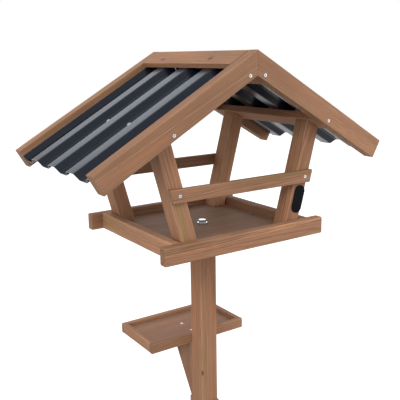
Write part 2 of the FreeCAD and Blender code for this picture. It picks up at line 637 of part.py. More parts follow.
# Badge: a plain plate on the front right post, flush with the post's outer edge
badge = doc.addObject("PartDesign::Body", "badge")
badge_plate = badge.newObject("PartDesign::AdditiveBox", "badge_plate")
bind(badge_plate, {
    "Length": "Sizes.badge_width",
    "Width": "Sizes.badge_thickness",
    "Height": "Sizes.badge_length",
    "Placement.Base.x": "-Sizes.badge_width / 2",
    "Placement.Base.y": "-Sizes.badge_thickness",
    "Placement.Base.z": "-Sizes.badge_length / 2",
})
doc.recompute()
badge_outline = badge.newObject("PartDesign::Fillet", "badge_outline")
badge_outline.Base = (badge_plate, edges_along(badge_plate.Shape, Vector(0, 1, 0)))
badge_outline.setExpression("Radius", "min(Sizes.badge_corner; Sizes.badge_width / 2 - 0.1)")
badge.Tip = badge_outline
BADGE_Z = "(Layout.board_top + Sizes.badge_lift)"
put(badge, f"{post_axis_x(BADGE_Z)} + Layout.post_half - Sizes.badge_width / 2 / cos(Sizes.post_lean)",
    "-Layout.post_face_y", BADGE_Z, (0, 1, 0), "Sizes.post_lean")
keep("badge", badge)

# Dowels of the tray corners, and the tray's floor screws
DOWEL_X = "(Layout.inner_x + Sizes.groove_depth + Sizes.tray_width / 2) / 2"
dowels_corner = []
for number, side in enumerate((-1, 1)):
    dowel = doc.addObject("Part::Prism", f"dowel_{number}")
    dowel.Polygon = SCREW_SIDES
    bind(dowel, {"Circumradius": "Sizes.dowel_diameter / 2", "Height": "Sizes.dowel_length"})
    dowel_z = f"Sizes.tray_height + Sizes.tray_board_height / 2 + {side} * Sizes.dowel_spacing / 2"
    put(dowel, DOWEL_X, "-(Layout.inner_y - Sizes.dowel_length / 2)", dowel_z, (1, 0, 0), "90")
    dowels_corner.append(dowel)
dowels_corner = group("dowels_corner", dowels_corner)
tray_dowels, tray_dowels_right = four_corners("tray_dowels", dowels_corner)
floor_screw_right = group("floor_screw_right", [
    set_screw("floor_screw_set", floor_screw, "Layout.inner_x - Sizes.floor_screw_inset", "0",
              "Layout.floor_top"),
])
floor_screws = keep("floor_screws", group("floor_screws", [
    floor_screw_right, mirrored(floor_screw_right, "floor_screw_left", (1, 0, 0))]))

# Tray boards, grooved on the inside for the floor panel
GROOVE_Z = "Sizes.floor_lift"
tray_front_blank = board(
    "tray_front_blank",
    ("Sizes.tray_board_length", "Sizes.tray_board_thickness", "Sizes.tray_board_height"),
    ("-Sizes.tray_board_length / 2", "-Sizes.tray_depth / 2", "Sizes.tray_height"),
    (1, 0, 0), "Sizes.tray_ease",
    [(("2 * (Layout.inner_x + Sizes.groove_depth)", "Sizes.groove_depth", "Sizes.floor_thickness"),
      ("Sizes.tray_board_length / 2 - Layout.inner_x - Sizes.groove_depth",
       "Sizes.tray_board_thickness - Sizes.groove_depth", GROOVE_Z))],
)
tray_front = keep("tray_front_board", drilled("tray_front_board", tray_front_blank, [tray_dowels]))
keep("tray_rear_board", mirrored(tray_front, "tray_rear_board", (0, 1, 0)))
tray_side_blank = board(
    "tray_side_blank",
    ("Sizes.tray_board_thickness", "2 * Layout.inner_y", "Sizes.tray_board_height"),
    ("Layout.inner_x", "-Layout.inner_y", "Sizes.tray_height"),
    (0, 1, 0), "Sizes.tray_ease",
    [(("Sizes.groove_depth", "2 * Layout.inner_y", "Sizes.floor_thickness"), ("0", "0", GROOVE_Z))],
)
tray_right = keep("tray_right_board", drilled("tray_right_board", tray_side_blank, [tray_dowels_right]))
keep("tray_left_board", mirrored(tray_right, "tray_left_board", (1, 0, 0)))

# Coach bolt through floor and bearer into the stand post, with its washer
bolt_shank = doc.addObject("Part::Cylinder", "bolt_shank")
bind(bolt_shank, {"Radius": "Sizes.bolt_diameter / 2", "Height": "Sizes.bolt_length"})
put(bolt_shank, z="Layout.floor_top + Sizes.washer_thickness - Sizes.bolt_length")
bolt_hexagon = doc.addObject("Part::Prism", "bolt_hexagon")
bolt_hexagon.Polygon = 6
bind(bolt_hexagon, {"Circumradius": "Sizes.bolt_flats / 2 / cos(30)", "Height": "Sizes.bolt_head_height"})
put(bolt_hexagon, z="Layout.floor_top + Sizes.washer_thickness")
bolt_crown = doc.addObject("Part::Cone", "bolt_crown")
bind(bolt_crown, {
    "Radius1": "Sizes.bolt_flats / 2 + Sizes.bolt_head_height * tan(60)",
    "Radius2": "Sizes.bolt_flats / 2",
    "Height": "Sizes.bolt_head_height",
})
put(bolt_crown, z="Layout.floor_top + Sizes.washer_thickness")
bolt_head = doc.addObject("Part::Common", "bolt_head")
bolt_head.Base = bolt_hexagon
bolt_head.Tool = bolt_crown
stand_bolt = doc.addObject("Part::Fuse", "stand_bolt")
stand_bolt.Base = bolt_head
stand_bolt.Tool = bolt_shank
keep("stand_bolt", stand_bolt)
washer_blank = doc.addObject("Part::Cylinder", "washer_blank")
bind(washer_blank, {"Radius": "Sizes.washer_diameter / 2", "Height": "Sizes.washer_thickness"})
put(washer_blank, z="Layout.floor_top")
keep("bolt_washer", drilled("bolt_washer", washer_blank, [bolt_shank]))

# Tray floor and the bearer that spreads the stand post's load
floor_blank = board(
    "floor_blank",
    ("2 * (Layout.inner_x + Sizes.groove_depth - Sizes.groove_gap)",
     "2 * (Layout.inner_y + Sizes.groove_depth - Sizes.groove_gap)", "Sizes.floor_thickness"),
    ("-(Layout.inner_x + Sizes.groove_depth - Sizes.groove_gap)",
     "-(Layout.inner_y + Sizes.groove_depth - Sizes.groove_gap)", "Layout.floor_under"),
    None, None,
)
keep("tray_floor", drilled("tray_floor", floor_blank, [floor_screws, post_foot_screws, stand_bolt]))
bearer_blank = board(
    "bearer_blank",
    ("2 * (Layout.inner_x - Sizes.groove_gap)", "Sizes.bearer_width", "Sizes.bearer_thickness"),
    ("-(Layout.inner_x - Sizes.groove_gap)", "-Sizes.bearer_width / 2", "Layout.stand_top"),
    (1, 0, 0), "Sizes.board_ease",
)
keep("tray_bearer", drilled("tray_bearer", bearer_blank, [floor_screws, stand_bolt]))

# Screws of the stand: splice plates, bracket, shelf, braces and cross foot
splice_screws_front = group("splice_screws_front", [
    set_screw(f"splice_screw_{number}", short_screw, "0", "-(Layout.stand_half + Sizes.splice_thickness)",
              f"Layout.splice_z + {step} * Sizes.splice_screw_spacing", angle="90")
    for number, step in enumerate((-1.5, -0.5, 0.5, 1.5))
])
splice_screws = keep("splice_screws", group("splice_screws", [
    splice_screws_front, mirrored(splice_screws_front, "splice_screws_rear", (0, 1, 0))]))
BRACKET_SCREW_Y = ("Layout.stand_half + Sizes.bracket_toe"
                   " + Sizes.bracket_screw_rise * sin(Layout.bracket_slope)")
BRACKET_SCREW_Z = ("Sizes.shelf_height - Sizes.bracket_height"
                   " + Sizes.bracket_screw_rise * cos(Layout.bracket_slope)")
bracket_screws = keep("bracket_screws", group("bracket_screws", [
    set_screw(f"bracket_screw_{number}", long_screw, f"{side} * Sizes.bracket_screw_spacing / 2",
              BRACKET_SCREW_Y, BRACKET_SCREW_Z, angle="-(90 + Layout.bracket_slope)")
    for number, side in enumerate((-1, 1))
]))
shelf_screws = keep("shelf_screws", group("shelf_screws", [
    set_screw(f"shelf_screw_{number}", floor_screw, "0",
              f"Layout.stand_half + Sizes.shelf_screw_inset + {number} * Sizes.shelf_screw_spacing",
              "Layout.shelf_floor_top")
    for number in (0, 1)
]))
base_screws = keep("base_screws", group("base_screws", [
    set_screw(f"base_screw_{number}", base_screw, f"{side} * Sizes.base_screw_spacing / 2", "0", "0",
              angle="180")
    for number, side in enumerate((-1, 1))
]))
INSET = "Sizes.brace_screw_inset / sqrt(2)"
NEAR = f"Layout.stand_half + {INSET}"
FAR = f"Layout.stand_half + Sizes.brace_reach - {INSET}"
LOW = f"Sizes.foot_height + {INSET}"
HIGH = f"Sizes.foot_height + Sizes.brace_reach - {INSET}"
brace_screws_right = group("brace_screws_right", [
    set_screw("brace_screw_upper", middle_screw, NEAR, "0", HIGH, (0, 1, 0), "45"),
    set_screw("brace_screw_lower", middle_screw, FAR, "0", LOW, (0, 1, 0), "45"),
])
brace_screws_rear = group("brace_screws_rear", [
    set_screw("brace_screw_rear_upper", middle_screw, "0", NEAR, HIGH, (1, 0, 0), "-45"),
    set_screw("brace_screw_rear_lower", middle_screw, "0", FAR, LOW, (1, 0, 0), "-45"),
])
brace_screws_left = mirrored(brace_screws_right, "brace_screws_left", (1, 0, 0))
brace_screws_front = mirrored(brace_screws_rear, "brace_screws_front", (0, 1, 0))
brace_screws = keep("brace_screws", group("brace_screws", [
    brace_screws_right, brace_screws_left, brace_screws_rear, brace_screws_front]))


# Stand post in two lengths, butted behind the splice plates
def stand_post(node, bottom, top, fasteners):
    """One square length of the stand post."""
    blank = board(
        f"{node}_blank",
        ("Sizes.stand_width", "Sizes.stand_width", f"{top} - {bottom}"),
        ("-Layout.stand_half", "-Layout.stand_half", bottom),
        (0, 0, 1), "Sizes.stand_ease",
    )
    keep(node, drilled(node, blank, fasteners))


stand_post("stand_post_upper", "Layout.splice_z", "Layout.stand_top",
           [stand_bolt, splice_screws, bracket_screws])
stand_post("stand_post_lower", "Sizes.foot_height", "Layout.splice_z",
           [splice_screws, brace_screws, base_screws])

# Splice plates, bevelled outwards at both ends
SPLICE_LOW = "(Layout.splice_z - Sizes.splice_length / 2)"
SPLICE_HIGH = "(Layout.splice_z + Sizes.splice_length / 2)"
SPLICE_FACE = "-(Layout.stand_half + Sizes.splice_thickness)"
splice_blank = shaped_board("splice_blank", "YZ_Plane", [
    ("-Layout.stand_half", SPLICE_LOW),
    ("-Layout.stand_half", SPLICE_HIGH),
    (SPLICE_FACE, f"{SPLICE_HIGH} - Sizes.splice_bevel"),
    (SPLICE_FACE, f"{SPLICE_LOW} + Sizes.splice_bevel"),
], "Sizes.stand_width", (0, 0, 1), None)
splice_front = keep("splice_plate_front", drilled("splice_plate_front", splice_blank, [splice_screws_front]))
keep("splice_plate_rear", mirrored(splice_front, "splice_plate_rear", (0, 1, 0)))

# Shelf behind the post: two long walls, two end walls between them, and the floor inside
SHELF_INNER_LENGTH = "(Sizes.shelf_width - 2 * Sizes.shelf_wall_thickness)"
SHELF_INNER_DEPTH = "(Sizes.shelf_depth - 2 * Sizes.shelf_wall_thickness)"
for node, wall_y in (
    ("shelf_front_board", "Layout.stand_half"),
    ("shelf_rear_board", "Layout.stand_half + Sizes.shelf_depth - Sizes.shelf_wall_thickness"),
):
    keep(node, board(
        node,
        ("Sizes.shelf_width", "Sizes.shelf_wall_thickness", "Sizes.shelf_wall_height"),
        ("-Sizes.shelf_width / 2", wall_y, "Sizes.shelf_height"),
        (1, 0, 0), "Sizes.board_ease",
    ))
for node, wall_x in (
    ("shelf_left_board", "-Sizes.shelf_width / 2"),
    ("shelf_right_board", "Sizes.shelf_width / 2 - Sizes.shelf_wall_thickness"),
):
    keep(node, board(
        node,
        ("Sizes.shelf_wall_thickness", SHELF_INNER_DEPTH, "Sizes.shelf_wall_height"),
        (wall_x, "Layout.stand_half + Sizes.shelf_wall_thickness", "Sizes.shelf_height"),
        (0, 1, 0), "Sizes.board_ease",
    ))
shelf_floor_blank = board(
    "shelf_floor_blank",
    (SHELF_INNER_LENGTH, SHELF_INNER_DEPTH, "Sizes.shelf_floor_thickness"),
    (f"-{SHELF_INNER_LENGTH} / 2", "Layout.stand_half + Sizes.shelf_wall_thickness", "Sizes.shelf_height"),
    None, None,
)
keep("shelf_floor", drilled("shelf_floor", shelf_floor_blank, [shelf_screws]))
bracket_blank = shaped_board("bracket_blank", "YZ_Plane", [
    ("Layout.stand_half", "Sizes.shelf_height"),
    ("Layout.stand_half + Sizes.bracket_reach", "Sizes.shelf_height"),
    ("Layout.stand_half + Sizes.bracket_toe", "Sizes.shelf_height - Sizes.bracket_height"),
    ("Layout.stand_half", "Sizes.shelf_height - Sizes.bracket_height"),
], "Sizes.stand_width", (0, 0, 1), None)
keep("shelf_bracket", drilled("shelf_bracket", bracket_blank, [shelf_screws, bracket_screws]))

# Cross foot, half-lapped under the post, with a brace to each face of the post
NOTCH_START = "(Sizes.foot_length - Sizes.foot_width) / 2"
foot_across_blank = board(
    "foot_across_blank",
    ("Sizes.foot_length", "Sizes.foot_width", "Sizes.foot_height"),
    ("-Sizes.foot_length / 2", "-Sizes.foot_width / 2", "0"),
    (1, 0, 0), "Sizes.stand_ease",
    [(("Sizes.foot_width", "Sizes.foot_width", "Sizes.foot_height / 2"),
      (NOTCH_START, "0", "Sizes.foot_height / 2"))],
)
keep("foot_across", drilled("foot_across", foot_across_blank, [brace_screws, base_screws]))
foot_along_blank = board(
    "foot_along_blank",
    ("Sizes.foot_width", "Sizes.foot_length", "Sizes.foot_height"),
    ("-Sizes.foot_width / 2", "-Sizes.foot_length / 2", "0"),
    (0, 1, 0), "Sizes.stand_ease",
    [(("Sizes.foot_width", "Sizes.foot_width", "Sizes.foot_height / 2"), ("0", NOTCH_START, "0"))],
)
keep("foot_along", drilled("foot_along", foot_along_blank, [brace_screws, base_screws]))
BRACE_OUTLINE = [
    ("Layout.stand_half", "Sizes.foot_height + Sizes.brace_reach"),
    ("Layout.stand_half", "Sizes.foot_height + Sizes.brace_reach - Layout.brace_band"),
    ("Layout.stand_half + Sizes.brace_reach - Layout.brace_band", "Sizes.foot_height"),
    ("Layout.stand_half + Sizes.brace_reach", "Sizes.foot_height"),
]
brace_across_blank = shaped_board("brace_across_blank", "XZ_Plane", BRACE_OUTLINE, "Sizes.brace_thickness",
                                  (0.70710678, 0, -0.70710678), "Sizes.stand_ease")
brace_right = keep("brace_right", drilled("brace_right", brace_across_blank, [brace_screws_right]))
keep("brace_left", mirrored(brace_right, "brace_left", (1, 0, 0)))
brace_along_blank = shaped_board("brace_along_blank", "YZ_Plane", BRACE_OUTLINE, "Sizes.brace_thickness",
                                 (0, 0.70710678, -0.70710678), "Sizes.stand_ease")
brace_rear = keep("brace_rear", drilled("brace_rear", brace_along_blank, [brace_screws_rear]))
keep("brace_front", mirrored(brace_rear, "brace_front", (0, 1, 0)))

doc.recompute()

for part in doc.Objects:
    if "Invalid" in part.State or "Error" in part.State:
        raise RuntimeError(f"{part.Name} failed: {part.State}")
for part in nodes:
    if part.Shape.isNull() or not part.Shape.isValid() or not part.Shape.Solids:
        raise RuntimeError(f"{part.Label} has no valid solid")

os.makedirs("parts", exist_ok=True)
for part in nodes:
    part.Shape.exportStep(f"parts/{part.Label}.step")
print(len(nodes), "nodes,", sum(len(part.Shape.Solids) for part in nodes), "solids")
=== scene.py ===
# Bird table on a stand: the dressed model, its light and its camera.
# Lengths are metres. X runs along the gable front, Y to the rear and Z up, as in the frame.
import math

import bpy
import numpy as np
from mathutils import Matrix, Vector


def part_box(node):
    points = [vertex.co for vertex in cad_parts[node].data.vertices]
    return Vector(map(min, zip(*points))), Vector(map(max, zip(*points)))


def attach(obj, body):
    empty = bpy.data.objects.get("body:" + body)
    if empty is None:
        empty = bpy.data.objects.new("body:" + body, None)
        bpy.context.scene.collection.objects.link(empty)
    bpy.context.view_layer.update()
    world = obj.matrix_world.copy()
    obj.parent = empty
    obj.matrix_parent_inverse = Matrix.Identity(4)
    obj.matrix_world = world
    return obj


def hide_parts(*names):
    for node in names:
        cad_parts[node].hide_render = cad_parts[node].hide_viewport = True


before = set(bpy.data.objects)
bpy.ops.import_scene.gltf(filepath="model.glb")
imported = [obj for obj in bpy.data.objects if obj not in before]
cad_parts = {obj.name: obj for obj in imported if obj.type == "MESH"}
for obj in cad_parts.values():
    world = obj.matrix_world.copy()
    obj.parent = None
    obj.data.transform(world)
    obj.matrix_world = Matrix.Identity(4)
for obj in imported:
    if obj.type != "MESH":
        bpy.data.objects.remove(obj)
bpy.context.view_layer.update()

BODY = "root"
MM = 0.001

# Directions of the timbers
PITCH = math.radians(30)
LEAN = math.radians(15.3)
X = np.array([1.0, 0.0, 0.0])
Y = np.array([0.0, 1.0, 0.0])
Z = np.array([0.0, 0.0, 1.0])
DOWN_SLOPE = np.array([math.cos(PITCH), 0.0, -math.sin(PITCH)])
ROOF_NORMAL = np.array([math.sin(PITCH), 0.0, math.cos(PITCH)])
POST_UP = np.array([math.sin(LEAN), 0.0, math.cos(LEAN)])
POST_OUT = np.array([math.cos(LEAN), 0.0, -math.sin(LEAN)])


def side_of(node):
    """-1 for a node on the left of the table, 1 for one on the right."""
    return -1.0 if "left" in node else 1.0


def mirror_x(vector, side):
    """A direction of the right half, turned over for the left half."""
    return vector * np.array([side, 1.0, 1.0])


# Finishes as they look in daylight, in sRGB. A wood has its early, late, olive, orange and pale colour.
STAINED_TIMBER = ("#9e7458", "#7a523a", "#8a7048", "#ab7650", "#bb9474")
STAINED_PANEL = ("#99725a", "#745a48", "#8c7657", "#a2785c", "#a88b76")
STAINED_SHELF = ("#96705b", "#735443", "#84694c", "#9c7053", "#a5856f")
BARE_BEECH = ("#c9a983", "#b08e68", "#bfa57c", "#cfa57a", "#d8bd9c")
KNOT_HEART = "#55372a"
ROOF_COAT = "#0a101c"
ROOF_DUST = "#6a6d74"
CUT_STEEL = "#b4b7bb"
ZINC = "#bcbec2"
ZINC_DULL = "#a4a7ac"
# Painted shade on screw heads: the dark of their recesses and of the ring round their rims
ZINC_PAINTED_SHADE = "#4a5056"
BADGE_BLACK = "#07080c"
BADGE_SCUFF = "#16181d"
FLOOR_GREY = "#9c9c9c"


def colour(code):
    """Linear RGBA of an sRGB hex code, by the sRGB curve."""
    values = [int(code[i:i + 2], 16) / 255 for i in (1, 3, 5)]
    return [v / 12.92 if v <= 0.04045 else ((v + 0.055) / 1.055) ** 2.4 for v in values] + [1.0]


# Node tools


class Graph:
    """Short calls for making and joining shader nodes."""

    def __init__(self, tree):
        self.tree = tree

    def node(self, kind, **values):
        made = self.tree.nodes.new(kind)
        for name, value in values.items():
            setattr(made, name, value)
        return made

    def feed(self, socket, value):
        """Join a socket to an output, or set it to a plain value."""
        if isinstance(value, bpy.types.NodeSocket):
            self.tree.links.new(value, socket)
        elif value is not None:
            socket.default_value = value

    def maths(self, operation, a, b=None, c=None):
        made = self.node("ShaderNodeMath", operation=operation)
        for socket, value in zip(made.inputs, (a, b, c)):
            self.feed(socket, value)
        return made.outputs[0]

    def plus(self, a, b):
        return self.maths("ADD", a, b)

    def times(self, a, b):
        return self.maths("MULTIPLY", a, b)

    def vector(self, operation, a, b=None, scale=None):
        made = self.node("ShaderNodeVectorMath", operation=operation)
        self.feed(made.inputs[0], a)
        self.feed(made.inputs[1], b)
        if scale is not None:
            self.feed(made.inputs["Scale"], scale)
        return made.outputs["Value"] if operation in ("LENGTH", "DISTANCE") else made.outputs["Vector"]

    def stretch(self, place, factors):
        """Scale a place along its three axes."""
        return self.vector("MULTIPLY", place, factors)

    def parts(self, vector):
        """The outputs X, Y and Z of a vector."""
        made = self.node("ShaderNodeSeparateXYZ")
        self.feed(made.inputs[0], vector)
        return made.outputs

    def mix(self, factor, a, b):
        made = self.node("ShaderNodeMix", data_type="RGBA")
        self.feed(made.inputs["Factor"], factor)
        self.feed(made.inputs["A"], a)
        self.feed(made.inputs["B"], b)
        return made.outputs["Result"]

    def steps(self, value, low, high, to_low=0.0, to_high=1.0):
        """A smooth step from to_low to to_high between two values."""
        made = self.node("ShaderNodeMapRange", interpolation_type="SMOOTHSTEP")
        for socket, v in zip(made.inputs, (value, low, high, to_low, to_high)):
            self.feed(socket, v)
        return made.outputs[0]

    def fade(self, value, low, high):
        """A smooth step from 1 down to 0 between two values."""
        return self.steps(value, low, high, 1.0, 0.0)

    def noise(self, place, scale=1.0, detail=2.0, roughness=0.5, output="Fac"):
        made = self.node("ShaderNodeTexNoise")
        self.feed(made.inputs["Vector"], place)
        made.inputs["Scale"].default_value = scale
        made.inputs["Detail"].default_value = detail
        made.inputs["Roughness"].default_value = roughness
        return made.outputs[output]

    def attribute(self, name, output="Fac"):
        return self.node("ShaderNodeAttribute", attribute_name=name).outputs[output]

    def own_place(self):
        """Object coordinates."""
        return self.node("ShaderNodeTexCoord").outputs["Object"]


def node_of(tree, kind):
    """The tree's first node of a type."""
    return next(node for node in tree.nodes if node.type == kind)


def new_group(name, inputs, outputs):
    """An empty shader group with named sockets, and its graph, input node and output node."""
    tree = bpy.data.node_groups.new(name, "ShaderNodeTree")
    for side, sockets in (("INPUT", inputs), ("OUTPUT", outputs)):
        for label, kind in sockets:
            tree.interface.new_socket(label, in_out=side, socket_type=f"NodeSocket{kind}")
    graph = Graph(tree)
    return tree, graph, graph.node("NodeGroupInput"), graph.node("NodeGroupOutput")


# Stained softwood: real lengths in the board, and how far a tone of 1 and an end's grain shift its lightness.
# YEAR_SPREAD sets the years apart in their noise, and LEAST_SIZE keeps a division away from zero.
BEND = 22 * MM
RIPPLE = 3 * MM
KNOT_RING_GAP = 1.3 * MM
KNOT_OVAL = (0.6, 1.0, 1.0)
YEAR_SPREAD = 7.31
TONE_STEP = 0.14
END_GRAIN_STEP = -0.22
LEAST_SIZE = 0.1 * MM


def wander(g, place, factors, reach):
    """Slow noise on a stretched place, as a push of up to half the reach each way."""
    push = g.vector("SUBTRACT", g.noise(g.stretch(place, factors), output="Color"), (0.5, 0.5, 0.5))
    return g.vector("SCALE", push, scale=reach)


def knot_marks(g, bent, centre, size):
    """A knot's push on the rings round it, its mask, and its own fine rings.

    All three come from the distance to its centre, which is shortened along the grain, so the knot is an
    oval. The push falls off as a bell curve.
    """
    reach = g.vector("DISTANCE", g.stretch(bent, KNOT_OVAL), g.stretch(centre, KNOT_OVAL))
    near = g.maths("DIVIDE", reach, g.maths("MAXIMUM", size, LEAST_SIZE))
    bell = g.maths("EXPONENT", g.times(g.times(near, near), -0.35))
    push = g.times(bell, g.times(size, 1.5))
    rings = g.steps(g.maths("FRACT", g.maths("DIVIDE", reach, KNOT_RING_GAP)), 0.4, 1.0)
    return push, g.fade(near, 0.8, 1.05), rings


def growth_rings(g, bent, push, gap):
    """The mask of late wood: the end of each ring round the pith, stronger in some years than in others."""
    radius = g.plus(g.vector("LENGTH", g.stretch(bent, (0.0, 1.0, 1.0))), push)
    turns = g.maths("DIVIDE", radius, gap)
    phase = g.maths("FRACT", turns)
    late = g.times(g.steps(phase, 0.35, 0.88), g.fade(phase, 0.9, 1.0))
    year = g.noise(g.times(g.maths("FLOOR", turns), YEAR_SPREAD), detail=0.0)
    return g.times(late, g.steps(year, 0.32, 0.68, 0.1, 1.0))


def light_line(g, place, ripple, streak):
    """The mask of one light line that wanders along the board and comes and goes.

    The streak holds its place across the board, its half width and its strength.
    """
    line = g.parts(streak)
    across = g.parts(g.vector("ADD", place, ripple))["Z"]
    gap = g.maths("ABSOLUTE", g.maths("SUBTRACT", across, line["X"]))
    gap = g.maths("DIVIDE", gap, g.maths("MAXIMUM", line["Y"], LEAST_SIZE))
    shown = g.times(line["Z"], g.steps(g.noise(g.stretch(place, (28.0, 0.0, 0.0))), 0.3, 0.5))
    return g.times(g.fade(gap, 0.3, 1.0), shown)


def softwood_group():
    """Stained softwood worked out in the board's own place.

    Growth rings are cylinders round a pith that lies beside the board, bent by slow noise and pushed aside
    by knots. Fine fibres run along the grain. The tone shifts the lightness, and the figure is the strength
    of the rings, stripes and tints.
    """
    tree, g, start, end = new_group(
        "stained_softwood",
        [("Grain", "Vector"), ("Tone", "Float"), ("End Grain", "Float"), ("Arris", "Float"),
         ("Knot A", "Vector"), ("Knot A Size", "Float"), ("Knot B", "Vector"), ("Knot B Size", "Float"),
         ("Streak", "Vector"), ("Ring Gap", "Float"), ("Figure", "Float"),
         ("Early", "Color"), ("Late", "Color"), ("Olive", "Color"), ("Orange", "Color"), ("Pale", "Color"),
         ("Knot Colour", "Color")],
        [("Color", "Color"), ("Roughness", "Float"), ("Height", "Float")],
    )
    given = start.outputs
    place = given["Grain"]

    # Rings, bent slowly along the board
    bend = wander(g, place, (2.2, 9.0, 9.0), BEND)
    ripple = wander(g, place, (14.0, 70.0, 70.0), RIPPLE)
    bent = g.vector("ADD", g.vector("ADD", place, bend), ripple)
    knots = [knot_marks(g, bent, given[label], given[f"{label} Size"]) for label in ("Knot A", "Knot B")]
    late = growth_rings(g, bent, g.plus(knots[0][0], knots[1][0]), given["Ring Gap"])

    # Fibres, stripes, blotches and tints
    fibre = g.noise(g.stretch(place, (22.0, 1100.0, 1100.0)), detail=3.0, roughness=0.6)
    stripe = g.noise(g.stretch(bent, (5.0, 230.0, 230.0)))
    blotch = g.noise(g.stretch(place, (6.0, 30.0, 30.0)), detail=3.0)
    tint = g.noise(g.stretch(g.vector("ADD", bent, (7.0, 3.0, 5.0)), (2.4, 42.0, 42.0)))

    shade = given["Early"]
    for share, label in (
        (g.times(late, 0.55), "Late"),
        (g.steps(tint, 0.52, 0.70, 0.0, 0.5), "Olive"),
        (g.steps(tint, 0.47, 0.32, 0.0, 0.45), "Orange"),
        (g.steps(stripe, 0.58, 0.74, 0.0, 0.28), "Pale"),
        (g.steps(stripe, 0.42, 0.27, 0.0, 0.32), "Late"),
    ):
        shade = g.mix(g.times(share, given["Figure"]), shade, given[label])
    for mask, label in (
        (light_line(g, place, ripple, given["Streak"]), "Pale"),
        (g.times(given["Arris"], g.steps(blotch, 0.35, 0.7, 0.1, 0.5)), "Pale"),
        (g.steps(fibre, 0.3, 0.62, 0.3, 0.0), "Late"),
    ):
        shade = g.mix(mask, shade, given[label])
    for _, mask, rings in knots:
        heart = g.mix(g.times(rings, 0.45), given["Knot Colour"], given["Orange"])
        shade = g.mix(g.times(mask, 0.9), shade, heart)
    toned = g.maths("MULTIPLY_ADD", given["Tone"], TONE_STEP, 1.0)
    level = g.times(g.steps(blotch, 0.2, 0.8, 0.9, 1.1), toned)
    level = g.times(level, g.maths("MULTIPLY_ADD", given["End Grain"], END_GRAIN_STEP, 1.0))
    g.feed(end.inputs["Color"], g.vector("SCALE", shade, scale=level))

    g.feed(end.inputs["Roughness"], g.steps(g.plus(fibre, g.times(late, 0.3)), 0.3, 0.9, 0.78, 0.62))
    height = g.plus(g.times(fibre, 0.55), g.times(late, 0.35))
    height = g.plus(height, g.times(stripe, 0.3))
    for _, mask, _ in knots:
        height = g.plus(height, g.times(mask, 0.5))
    g.feed(end.inputs["Height"], height)
    return tree


def weather_group():
    """Fine dust and handling marks: slow clouds broken up by specks, as a mask and a height."""
    tree, g, start, end = new_group(
        "dust_and_marks",
        [("Place", "Vector"), ("Size", "Float")],
        [("Mask", "Float"), ("Height", "Float")],
    )
    place = g.vector("SCALE", start.outputs["Place"], scale=start.outputs["Size"])
    clouds = g.noise(place, detail=4.0, roughness=0.6)
    specks = g.noise(g.vector("SCALE", place, scale=14.0))
    g.feed(end.inputs["Mask"], g.times(g.steps(clouds, 0.45, 0.75), g.steps(specks, 0.4, 0.7)))
    g.feed(end.inputs["Height"], specks)
    return tree


SOFTWOOD = softwood_group()
WEATHER = weather_group()


# Materials
BUMP_STRENGTH = 0.5
WOOD_RELIEF = 0.4 * MM
PEEL_RELIEF = 0.02 * MM
MARK_RELIEF = 0.03 * MM
SCUFF_RELIEF = 0.02 * MM
PITH_OFFSET = (0.31, 0.052, 0.037)


def principled(name):
    """A new material with one Principled shader: the material, its graph and the shader node."""
    material = bpy.data.materials.new(name)
    material.use_nodes = True
    return material, Graph(material.node_tree), node_of(material.node_tree, "BSDF_PRINCIPLED")


def bump(graph, shader, height, distance):
    """Feed a height into the shader's normal."""
    node = graph.node("ShaderNodeBump")
    node.inputs["Distance"].default_value = distance
    node.inputs["Strength"].default_value = BUMP_STRENGTH
    graph.feed(node.inputs["Height"], height)
    graph.feed(shader.inputs["Normal"], node.outputs["Normal"])


def dust_and_marks(g, size):
    """The outputs of the shared dust and marks, on Object coordinates at a size."""
    marks = g.node("ShaderNodeGroup", node_tree=WEATHER)
    g.feed(marks.inputs["Place"], g.own_place())
    marks.inputs["Size"].default_value = size
    return marks.outputs


def board_material(name, palette, ring_gap, turn=None):
    """Stained softwood that follows a board's own attributes, or Object coordinates turned about Z."""
    material, g, shader = principled(name)
    wood = g.node("ShaderNodeGroup", node_tree=SOFTWOOD)
    if turn is None:
        for label, output in (("Grain", "Vector"), ("Tone", "Fac"), ("End Grain", "Fac"), ("Arris", "Fac"),
                              ("Figure", "Fac"), ("Streak", "Vector")):
            g.feed(wood.inputs[label], g.attribute(label.lower().replace(" ", "_"), output))
        for letter in "AB":
            knot = g.node("ShaderNodeAttribute", attribute_name=f"knot_{letter.lower()}")
            g.feed(wood.inputs[f"Knot {letter}"], knot.outputs["Vector"])
            g.feed(wood.inputs[f"Knot {letter} Size"], knot.outputs["Alpha"])
    else:
        mapping = g.node("ShaderNodeMapping")
        g.feed(mapping.inputs["Vector"], g.own_place())
        mapping.inputs["Rotation"].default_value = (0.0, 0.0, turn)
        mapping.inputs["Location"].default_value = PITH_OFFSET
        g.feed(wood.inputs["Grain"], mapping.outputs["Vector"])
        wood.inputs["Figure"].default_value = 1.0
        wood.inputs["Knot A Size"].default_value = 0.0
        wood.inputs["Knot B Size"].default_value = 0.0
    labels = ("Early", "Late", "Olive", "Orange", "Pale", "Knot Colour")
    for label, code in zip(labels, (*palette, KNOT_HEART)):
        wood.inputs[label].default_value = colour(code)
    wood.inputs["Ring Gap"].default_value = ring_gap
    g.feed(shader.inputs["Base Color"], wood.outputs["Color"])
    g.feed(shader.inputs["Roughness"], wood.outputs["Roughness"])
    shader.inputs["Specular IOR Level"].default_value = 0.3
    bump(g, shader, wood.outputs["Height"], WOOD_RELIEF)
    return material


